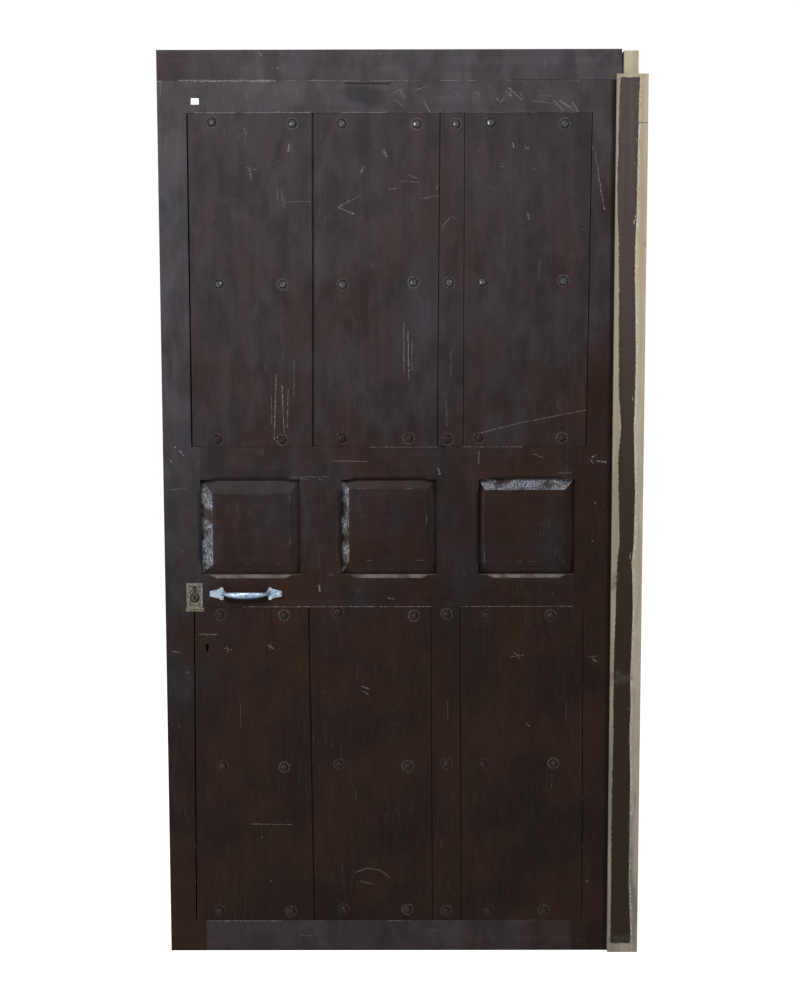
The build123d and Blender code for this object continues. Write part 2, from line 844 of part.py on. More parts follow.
lock_stile = block(0, lock_stile_width, 0, leaf_back, 0, frame_top) - lock_rebates
lock_stile = lock_stile - tenons - panel_groove_x(lock_stile_width, -1) - chamfer_cuts
parts["lock_stile"] = lock_stile - dowel_holes - lock_cuts
hinge_stile = block(hinge_stile_face, leaf_width, 0, leaf_back, 0, frame_top) - hinge_rebates
hinge_stile = hinge_stile - tenons - panel_groove_x(hinge_stile_face, 1) - chamfer_cuts - dowel_holes
parts["hinge_stile"] = hinge_stile - leaf_recesses - leaf_screw_holes
parts["top_board"] = block(0, leaf_width, 0, leaf_back, frame_top, leaf_height) - dowel_holes
parts["top_rail"] = rail(top_rail_low, frame_top, lap_down=board_lap) - stud_holes["top"] - dowel_holes
upper_rail = rail(upper_rail_low, upper_rail_high, lap_up=board_lap) - panel_groove_z(upper_rail_low, 1)
parts["upper_middle_rail"] = upper_rail - chamfer_cuts - stud_holes["upper_rail"]
lower_rail = rail(lower_rail_low, lower_rail_high, lap_down=board_lap) - panel_groove_z(lower_rail_high, -1)
lower_rail = lower_rail - chamfer_cuts - stud_holes["lower_rail"]
parts["lower_middle_rail"] = lower_rail - lock_cuts - handle_screw_holes
parts["bottom_rail"] = rail(0, bottom_rail_height, lap_up=board_lap) - stud_holes["bottom"]
parts["upper_ledge"] = ledge(upper_ledge_level) - stud_holes["upper_ledge"]
parts["lower_ledge"] = ledge(lower_ledge_level) - stud_holes["lower_ledge"]
parts["left_upright"] = upright(first_right, second_left) - chamfer_cuts
parts["right_upright"] = upright(second_right, third_left) - chamfer_cuts
for name, (left, right), bevels in zip(("left", "middle", "right"), panel_openings, panel_bevels):
    parts[f"{name}_panel"] = raised_panel(left, right, bevels)
for index, name in enumerate(board_names):
    parts[f"upper_{name}_board"] = upper_field.board(index) - upper_holes
    parts[f"lower_{name}_board"] = lower_field.board(index) - lower_holes
keyhole_through = keyhole_cut(0, leaf_back + base_thickness)
parts["lower_left_board"] -= keyhole_through
lock_block = block(
    lock_stile_width,
    keyhole_place + lock_block_reach,
    board_thickness,
    leaf_back,
    keyhole_z - lock_block_below,
    lower_rail_low - board_lap,
)
parts["lock_block"] = lock_block - keyhole_through - lock_cuts
parts["top_board_dowels"] = row_of(dowels)

# Studs
for name, row in places.items():
    parts[f"{name}_studs"] = row_of(stud(x, z, index) for index, (x, z) in enumerate(row))

# Jamb
jamb_outline = Polygon(
    (stop_edge, -stop_clearance - stop_thickness),
    (jamb_right, -stop_clearance - stop_thickness),
    (jamb_right, leaf_back),
    (rebate_face, leaf_back),
    (rebate_face, -stop_clearance),
    (stop_edge, -stop_clearance),
    align=None,
)
jamb = extrude(jamb_outline, amount=jamb_height)
tenon_left = rebate_face + head_tenon_shoulder
jamb_middle_y = (leaf_back - stop_clearance - stop_thickness) / 2
jamb += block(
    tenon_left,
    tenon_left + head_tenon_width,
    jamb_middle_y - head_tenon_thickness / 2,
    jamb_middle_y + head_tenon_thickness / 2,
    jamb_height,
    jamb_height + head_tenon_length,
)
parts["jamb"] = jamb - jamb_recesses - jamb_screw_holes

# Hinges
hinge_pins = []
hinge_washers = []
for name, level in zip(("bottom", "middle", "top"), hinge_levels()):
    leaf_half, jamb_half, pin, washer = hinge(level)
    parts[f"{name}_hinge_leaf_half"] = leaf_half
    parts[f"{name}_hinge_jamb_half"] = jamb_half
    hinge_pins.append(pin)
    hinge_washers.append(washer)
parts["hinge_pins"] = row_of(hinge_pins)
parts["hinge_washers"] = row_of(hinge_washers)
parts["hinge_screws_leaf"] = row_of(seat * screw(*hinge_screw) for seat in leaf_screw_seats)
parts["hinge_screws_jamb"] = row_of(seat * screw(*hinge_screw) for seat in jamb_screw_seats)

# Handle
handle = handle_end(handle_left, 1) + handle_end(handle_left + handle_length, -1) + handle_grip()
parts["pull_handle"] = handle - handle_screw_holes
parts["handle_screws"] = row_of(seat * screw(*handle_screw) for seat in handle_screw_seats())

# Plate round the cylinder, with threaded posts behind it and bolts from the inside
plate_low = barrel_z - plate_below
plate_high = barrel_z + plate_above
plate_left = cylinder_backset - plate_width / 2
plate_right = cylinder_backset + plate_width / 2
plate = block(plate_left, plate_right, -plate_thickness - plate_rim_height, 0, plate_low, plate_high)
plate -= block(
    plate_left + plate_rim,
    plate_right - plate_rim,
    -plate_thickness - plate_rim_height,
    -plate_thickness,
    plate_low + plate_rim,
    plate_high - plate_rim,
)
half_lip = lip_width / 2
lip_left = cylinder_backset - half_lip
lip_right = cylinder_backset + half_lip
plate += block(lip_left, lip_right, -lip_thickness, 0, plate_low - lip_height, plate_low)
plate -= prism(cylinder_outline(plate_hole_radius, plate_stem_width, plate_stem_reach), -plate_thickness, 0)
plate_bolts = []
bolt_tip = plate_post_length / 2
for post_x, post_z in plate_post_places():
    plate += bar_y(post_x, post_z, plate_post_radius, 0, plate_post_length)
    plate -= bar_y(post_x, post_z, plate_bolt_radius + press_play, bolt_tip, plate_post_length)
    bolt = bar_y(post_x, post_z, plate_bolt_radius, bolt_tip, leaf_back)
    bolt += bar_y(post_x, post_z, plate_post_radius, leaf_back - plate_bolt_head, leaf_back)
    plate_bolts.append(bolt)
parts["cylinder_plate"] = plate
parts["plate_bolts"] = row_of(plate_bolts)

# Cylinder
cam_back = cam_front + cam_gap
body_outline = cylinder_outline(barrel_radius, stem_width, stem_reach)
cylinder = prism(body_outline, -cylinder_front, cylinder_end)
cylinder -= rod_y(cylinder_backset, barrel_z, plug_radius + running_play, -cylinder_front, cylinder_end)
cylinder -= block(
    cylinder_backset - barrel_radius,
    cylinder_backset + barrel_radius,
    cam_front,
    cam_back,
    barrel_z - barrel_radius,
    barrel_z + bridge_start,
)
fixing_y = (cam_front + cam_back) / 2
fixing_z = barrel_z + (bridge_start + stem_reach) / 2
fixing_start = rim_case_left - fixing_head_thickness
fixing_end = cylinder_backset + stem_width / 2


def fixing_rod(radius, x_low, x_high):
    """Round bar along X on the cylinder's fixing line."""
    return Pos((x_low + x_high) / 2, fixing_y, fixing_z) * Rot(0, 90, 0) * Cylinder(radius, x_high - x_low)


cylinder -= fixing_rod(fixing_screw_radius + press_play, rim_case_left, fixing_end)
parts["lock_cylinder"] = cylinder
fixing = fixing_rod(fixing_screw_radius, rim_case_left, fixing_end - fixing_tip_setback)
parts["cylinder_fixing_screw"] = fixing + fixing_rod(fixing_head_radius, fixing_start, rim_case_left)

cam_middle = (cam_front + cam_back) / 2
key_width, key_height, key_depth = keyway
plug_stub = cam_bore - running_play


def plug(y_end, y_stub):
    """Cylinder plug with its keyway, and a stub that drives the cam."""
    outer = cam_front if y_end < y_stub else cam_back
    barrel = rod_y(cylinder_backset, barrel_z, plug_radius, min(y_end, outer), max(y_end, outer))
    barrel += rod_y(cylinder_backset, barrel_z, plug_stub, min(outer, y_stub), max(outer, y_stub))
    mouth = y_end + key_depth if y_end < y_stub else y_end - key_depth
    slot = Pos(cylinder_backset, barrel_z) * Rectangle(key_width, key_height)
    return barrel - prism(slot, min(y_end, mouth), max(y_end, mouth))


parts["outer_plug"] = plug(-cylinder_front, cam_middle - press_play)
parts["inner_plug"] = plug(cylinder_end, cam_middle + press_play)
cam_outline = Pos(cylinder_backset, barrel_z) * Circle(barrel_radius)
cam_outline += Pos(cylinder_backset, barrel_z - cam_reach / 2) * Rectangle(cam_width, cam_reach)
cam_outline &= Pos(cylinder_backset, barrel_z) * Circle(cam_reach)
cam_outline -= Pos(cylinder_backset, barrel_z) * Circle(cam_bore)
parts["cylinder_cam"] = prism(cam_outline, cam_front + cam_play, cam_back - cam_play)


def lock_case(left, right, low, high, wall, depth, fillet_radius):
    """Folded case that is open towards the leaf."""
    front = leaf_back + base_thickness
    shell = block(left, right, front, front + depth, low, high)
    shell = fillet(shell.faces().sort_by(Axis.Y)[-1].edges(), fillet_radius)
    return shell - block(left + wall, right - wall, front, front + depth - wall, low + wall, high - wall)


def bolt_slot(x_low, x_high, y_low, y_high, z_low, z_high):
    """Slot that a bolt slides in, with play all round."""
    play = bolt_play
    return block(x_low, x_high, y_low - play, y_high + play, z_low - play, z_high + play)


# Rim lock
rim_low = barrel_z - rim_case_below
rim_high = barrel_z + rim_case_above
rim_bolt_high = barrel_z - rim_bolt_drop
rim_bolt_low = rim_bolt_high - rim_bolt_height
rim_bolt_back = rim_bolt_front + rim_bolt_thickness
rim_inner_back = case_back - case_wall
rim_case = lock_case(
    rim_case_left, rim_case_right, rim_low, rim_high, case_wall, rim_case_depth, case_fillet
)
rib_high = rim_bolt_high + rim_rib_margin
rim_case += block(*rim_rib, leaf_back + base_thickness, rim_inner_back, rim_low + case_wall, rib_high)
rim_bolt_sides = (rim_bolt_front, rim_bolt_back, rim_bolt_low, rim_bolt_high)
rim_case -= bolt_slot(rim_case_left, rim_rib[1], *rim_bolt_sides)
clearance_outline = cylinder_outline(
    barrel_radius + bolt_play, stem_width + 2 * bolt_play, stem_reach + bolt_play
)
rim_case -= prism(clearance_outline, rim_inner_back, case_back)
rim_case -= fixing_rod(fixing_screw_radius + press_play, rim_case_left, rim_case_left + case_wall)
rim_screws = []
for x, z in rim_screw_centres():
    seat = facing(x, case_back, z, (0, 1, 0), rim_screw_turn)
    rim_case -= seat * screw_shape(*rim_screw, screw_play)
    rim_screws.append(seat * screw(*rim_screw))
parts["rim_lock_case"] = rim_case
rim_base = block(rim_case_left, rim_case_right, leaf_back, leaf_back + base_thickness, rim_low, rim_high)
rim_base -= prism(clearance_outline, leaf_back, leaf_back + base_thickness)
parts["rim_lock_base"] = rim_base - lock_cuts
parts["rim_lock_screws"] = row_of(rim_screws)
rim_bolt = block(rim_case_left + bolt_setback, rim_bolt_end, *rim_bolt_sides)
parts["rim_lock_bolt"] = chamfer(rim_bolt.faces().sort_by(Axis.X)[0].edges(), rim_bolt_chamfer)

# Old lock
old_low = keyhole_z - old_case_below
old_high = keyhole_z + old_case_above
old_bolt_front = leaf_back + old_bolt_setback
old_bolt_back = old_bolt_front + old_bolt_thickness
old_bolt_low = keyhole_z + old_bolt_rise
old_bolt_high = old_bolt_low + old_bolt_height
old_back = leaf_back + base_thickness + old_case_depth
old_inner_back = old_back - old_case_wall
old_case_right = keyhole_place + old_case_reach
old_case = lock_case(
    old_plate_left, old_case_right, old_low, old_high, old_case_wall, old_case_depth, case_fillet
)
old_case += block(
    *old_rib,
    leaf_back + base_thickness,
    old_inner_back,
    old_bolt_low - old_rib_margin,
    old_high - old_case_wall,
)
old_bolt_sides = (old_bolt_front, old_bolt_back, old_bolt_low, old_bolt_high)
old_case -= bolt_slot(old_plate_left, old_rib[1], *old_bolt_sides)
old_case -= rod_y(keyhole_place, keyhole_z, key_post_radius + press_play, old_inner_back, old_back)
parts["old_lock_case"] = old_case
old_base = block(
    old_plate_left,
    old_plate_right,
    leaf_back,
    leaf_back + base_thickness,
    keyhole_z - old_plate_below,
    keyhole_z + old_plate_above,
)
nails = []
for x, z in nail_centres():
    nail_back = leaf_back + base_thickness
    nail = bar_y(x, z, nail_radius, leaf_back - nail_length, nail_back)
    nails.append(nail + bar_y(x, z, nail_head_radius, nail_back, nail_back + nail_head_height))
    old_base -= bar_y(x, z, nail_radius + screw_play, leaf_back, nail_back)
parts["old_lock_base"] = old_base - keyhole_through
parts["old_lock_nails"] = row_of(nails)
old_bolt = block(old_plate_left + bolt_setback, keyhole_place + old_bolt_reach, *old_bolt_sides)
notch_width, notch_height = old_bolt_notch
old_bolt -= block(
    keyhole_place - notch_width / 2,
    keyhole_place + notch_width / 2,
    old_bolt_front,
    old_bolt_back,
    old_bolt_low,
    old_bolt_low + notch_height,
)
parts["old_lock_bolt"] = old_bolt
post_tip = leaf_back + key_post_gap
parts["old_lock_key_post"] = rod_y(keyhole_place, keyhole_z, key_post_radius, post_tip, old_back)

# Finished frame: the middle of the whole door's foot
shift_x = -jamb_right / 2
shift_y = (handle_reach - cylinder_end) / 2
place = Pos(shift_x, shift_y, 0)
os.makedirs("parts", exist_ok=True)
for name, shape in parts.items():
    export_step(place * shape, f"parts/{name}.step")
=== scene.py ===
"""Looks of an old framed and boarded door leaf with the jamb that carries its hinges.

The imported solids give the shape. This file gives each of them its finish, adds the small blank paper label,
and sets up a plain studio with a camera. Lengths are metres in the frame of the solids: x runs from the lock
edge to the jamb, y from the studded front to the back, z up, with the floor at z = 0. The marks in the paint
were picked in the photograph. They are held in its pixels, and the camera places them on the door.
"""

import logging
import math
from collections.abc import Iterable
from dataclasses import dataclass, replace
from enum import Enum

import bpy
import numpy as np
from mathutils import Euler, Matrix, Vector


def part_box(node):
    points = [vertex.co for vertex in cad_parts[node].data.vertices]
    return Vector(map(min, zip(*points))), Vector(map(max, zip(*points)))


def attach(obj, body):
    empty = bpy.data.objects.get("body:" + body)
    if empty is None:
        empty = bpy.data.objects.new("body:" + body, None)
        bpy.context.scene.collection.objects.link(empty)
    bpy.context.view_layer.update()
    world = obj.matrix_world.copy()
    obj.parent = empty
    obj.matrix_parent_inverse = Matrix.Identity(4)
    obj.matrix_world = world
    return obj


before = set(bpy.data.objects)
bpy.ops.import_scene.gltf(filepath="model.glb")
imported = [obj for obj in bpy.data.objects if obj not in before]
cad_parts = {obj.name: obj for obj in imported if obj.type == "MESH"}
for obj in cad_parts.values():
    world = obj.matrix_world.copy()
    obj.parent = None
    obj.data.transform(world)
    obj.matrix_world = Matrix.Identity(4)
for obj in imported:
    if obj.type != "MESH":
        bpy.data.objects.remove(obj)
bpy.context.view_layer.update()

log = logging.getLogger("door")

Colour = tuple[float, float, float]
Place = tuple[float, float]

LEAF_FRONT = -0.01825          # y of the leaf's front face
STOP_FRONT = -0.03175          # y of the jamb's front face
SPOT_LENGTH = 0.0004           # how long a spot is drawn, because a stroke needs a direction
EYE_DECIMALS = 3               # decimals of a metre that a picked place is worth


class Grain(Enum):
    """Way the grain of a piece of timber runs, as how far its pattern is squeezed along x, y and z."""

    UPRIGHT = (1.0, 1.0, 0.035)
    LEVEL = (0.035, 1.0, 1.0)


class Lamp(Enum):
    """Lamps of the studio: where each stands, how large it is, its power and its colour."""

    LEFT = ((-2.9, -2.1, 1.25), (0.8, 0.8), 52.0, (1.0, 1.0, 1.0))
    RIGHT = ((2.4, -2.3, 2.9), (0.7, 0.7), 30.0, (1.0, 1.0, 1.0))
    ABOVE = ((-1.0, -2.9, 3.1), (2.0, 1.0), 86.0, (0.96, 0.98, 1.0))


class Graph:
    """Adds nodes to one node tree, and links or sets their inputs."""

    def __init__(self, tree: bpy.types.NodeTree) -> None:
        """Starts on an empty tree.

        Args:
            tree: the node tree of a material, a world or a group.
        """
        self.tree = tree
        tree.nodes.clear()

    def put(self, target: bpy.types.NodeSocket, value: object) -> None:
        """Links a socket to the target, or sets the target's own value.

        Args:
            target: the input socket.
            value: an output socket, a number or a sequence of numbers.
        """
        if isinstance(value, bpy.types.NodeSocket):
            self.tree.links.new(value, target)
        elif isinstance(value, (int, float)):
            target.default_value = value
        else:
            wanted = len(target.default_value)
            target.default_value = (*value, 1.0)[:wanted]

    def node(self, kind: str, inputs: dict | None = None, **settings: object) -> bpy.types.Node:
        """Adds one node.

        Args:
            kind: its type, without the leading ShaderNode.
            inputs: values or sockets by input name or number.
            settings: attributes of the node itself.

        Returns:
            The new node.
        """
        made = self.tree.nodes.new("ShaderNode" + kind)
        for name, value in settings.items():
            setattr(made, name, value)
        for name, value in (inputs or {}).items():
            self.put(made.inputs[name], value)
        return made

    def math(self, operation: str, *values: object, clamp: bool = False) -> bpy.types.NodeSocket:
        """Adds a Math node.

        Args:
            operation: what it does.
            values: its numbers or sockets, in order.
            clamp: whether the result is kept from 0 to 1.

        Returns:
            Its output.
        """
        return self.node("Math", dict(enumerate(values)), operation=operation, use_clamp=clamp).outputs[0]

    def times(self, first: object, *others: object) -> bpy.types.NodeSocket:
        """Multiplies numbers or sockets.

        Args:
            first: the first of them.
            others: the rest, at least one.

        Returns:
            Their product.
        """
        for other in others:
            first = self.math("MULTIPLY", first, other)
        return first

    def vector(self, operation: str, *values: object, output: int = 0) -> bpy.types.NodeSocket:
        """Adds a Vector Math node.

        Args:
            operation: what it does.
            values: its vectors or sockets, in order.
            output: 0 for the vector, 1 for the value.

        Returns:
            That output.
        """
        return self.node("VectorMath", dict(enumerate(values)), operation=operation).outputs[output]

    def mix(self, factor: object, first: object, second: object, blend: str = "MIX") -> bpy.types.NodeSocket:
        """Mixes two colours.

        Args:
            factor: how much of the second, from 0 to 1.
            first: colour or socket.
            second: colour or socket.
            blend: the way they are mixed.

        Returns:
            The mixed colour.
        """
        made = self.node("Mix", {0: factor, 6: first, 7: second}, data_type="RGBA", blend_type=blend)
        return made.outputs[2]

    def step(self, value: object, low: float, high: float, start: float = 0.0,
             end: float = 1.0) -> bpy.types.NodeSocket:
        """Goes smoothly from start to end while the value goes from low to high.

        Args:
            value: the number or socket.
            low: where the change begins.
            high: where it ends.
            start: result at and below low.
            end: result at and above high.

        Returns:
            The result.
        """
        inputs = {0: value, 1: low, 2: high, 3: start, 4: end}
        return self.node("MapRange", inputs, interpolation_type="SMOOTHSTEP").outputs[0]

    def noise(self, vector: object, scale: float, detail: float = 3.0, rough: float = 0.5,
              distortion: float = 0.0) -> bpy.types.NodeSocket:
        """Adds a noise pattern.

        Args:
            vector: where it is read.
            scale: cells per metre.
            detail: how many finer layers it has.
            rough: how strong those are.
            distortion: how much it curls.

        Returns:
            Its value, mostly from 0.3 to 0.7.
        """
        inputs = {"Vector": vector, "Scale": scale, "Detail": detail, "Roughness": rough}
        return self.node("TexNoise", inputs | {"Distortion": distortion}).outputs[0]

    def group(self, tree: bpy.types.NodeTree, **inputs: object) -> bpy.types.Node:
        """Places a shared effect.

        Args:
            tree: the effect's node group.
            inputs: its inputs by name.

        Returns:
            The group node.
        """
        return self.node("Group", inputs, node_tree=tree)


class Joint(Enum):
    """Level joints with a line along them: a solid, which end of it, and how far above that the line is.

    The end is 0 for the solid's foot and 1 for its head.
    """

    OVER_HEAD_JOINT = ("top_board", 0, 0.0008)
    UNDER_HEAD_JOINT = ("top_board", 0, -0.0008)
    HEAD_CRACK = ("top_board", 0, 0.0006)
    OVER_UPPER_BOARDS = ("upper_left_board", 1, 0.0016)
    UNDER_UPPER_BOARDS = ("upper_left_board", 0, -0.0010)
    OVER_LOWER_BOARDS = ("lower_left_board", 1, 0.0014)
    UNDER_LOWER_BOARDS = ("lower_left_board", 0, -0.0012)

    def level(self) -> float:
        """Height of the line."""
        node, end, above = self.value
        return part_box(node)[end][2] + above


@dataclass(frozen=True)
class Stroke:
    """A scratch, rub or crack on the front, straight from start to end: x and z, or a pixel's two."""

    start: Place
    end: Place
    width: float = 0.0014
    strength: float = 0.6
    joint: Joint | None = None


def spot(place: Place, size: float, strength: float = 0.6) -> Stroke:
    """A round mark.

    Args:
        place: its centre, x and z or a pixel's two.
        size: its radius.
        strength: how much it shows.

    Returns:
        The mark, as a stroke that ends where it starts.
    """
    return Stroke(place, place, size, strength)


@dataclass(frozen=True)
class Camera:
    """The camera, in front of the door at the height of the eyes, and the picture that it takes."""

    place: tuple[float, float, float] = (0.0018, -3.6707, 1.4449)
    turn: tuple[float, float, float] = (84.132, 0.118, 0.120)
    lens: float = 57.6
    sensor: float = 36.0
    picture_width: int = 800
    picture_height: int = 1000

    def angles(self) -> list[float]:
        """Its turn in radians."""
        return [math.radians(turn) for turn in self.turn]

    def on_front(self, pixel: Place) -> Place:
        """Finds what shows at a pixel, by following the pixel's ray until its y is that of the leaf's front.

        Args:
            pixel: columns from the picture's left and rows from its top.

        Returns:
            x and z of the point.
        """
        focal = self.lens / self.sensor * self.picture_height
        across = (pixel[0] - self.picture_width / 2.0) / focal
        down = (pixel[1] - self.picture_height / 2.0) / focal
        ray = Euler(self.angles()).to_matrix() @ Vector((across, -down, -1.0))
        point = Vector(self.place) + ray * ((LEAF_FRONT - self.place[1]) / ray.y)
        return round(point.x, EYE_DECIMALS), round(point.z, EYE_DECIMALS)

    def strokes(self, picked: Iterable[Stroke]) -> tuple[Stroke, ...]:
        """Places marks that were picked in the picture.

        Args:
            picked: the marks, in pixels.

        Returns:
            The same marks in metres, and level on its joint where a mark names one.
        """
        placed = []
        for mark in picked:
            start, end = self.on_front(mark.start), self.on_front(mark.end)
            if mark.joint:
                level = mark.joint.level()
                start, end = (start[0], level), (end[0], level)
            placed.append(replace(mark, start=start, end=end))
        return tuple(placed)


def corner_scratch(inset: float = 0.0015, width: float = 0.0065, drop: float = 0.0010,
                   height: float = 0.0320) -> tuple[Stroke, ...]:
    """A scratch round three sides of a small patch at the head of the lock stile.

    Args:
        inset: from the stile's outer edge to the patch.
        width: the patch's width.
        drop: from the stile's head to the patch.
        height: the patch's height.

    Returns:
        Its three strokes.
    """
    (edge, _, _), (_, _, head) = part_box("lock_stile")
    near, high = edge + inset, head - drop
    far, low = near + width, high - height
    return (
        Stroke((near, high), (far, high), 0.0011, 0.60),
        Stroke((far, high), (far, low), 0.0010, 0.55),
        Stroke((near, low), (far, low), 0.0009, 0.50),
    )
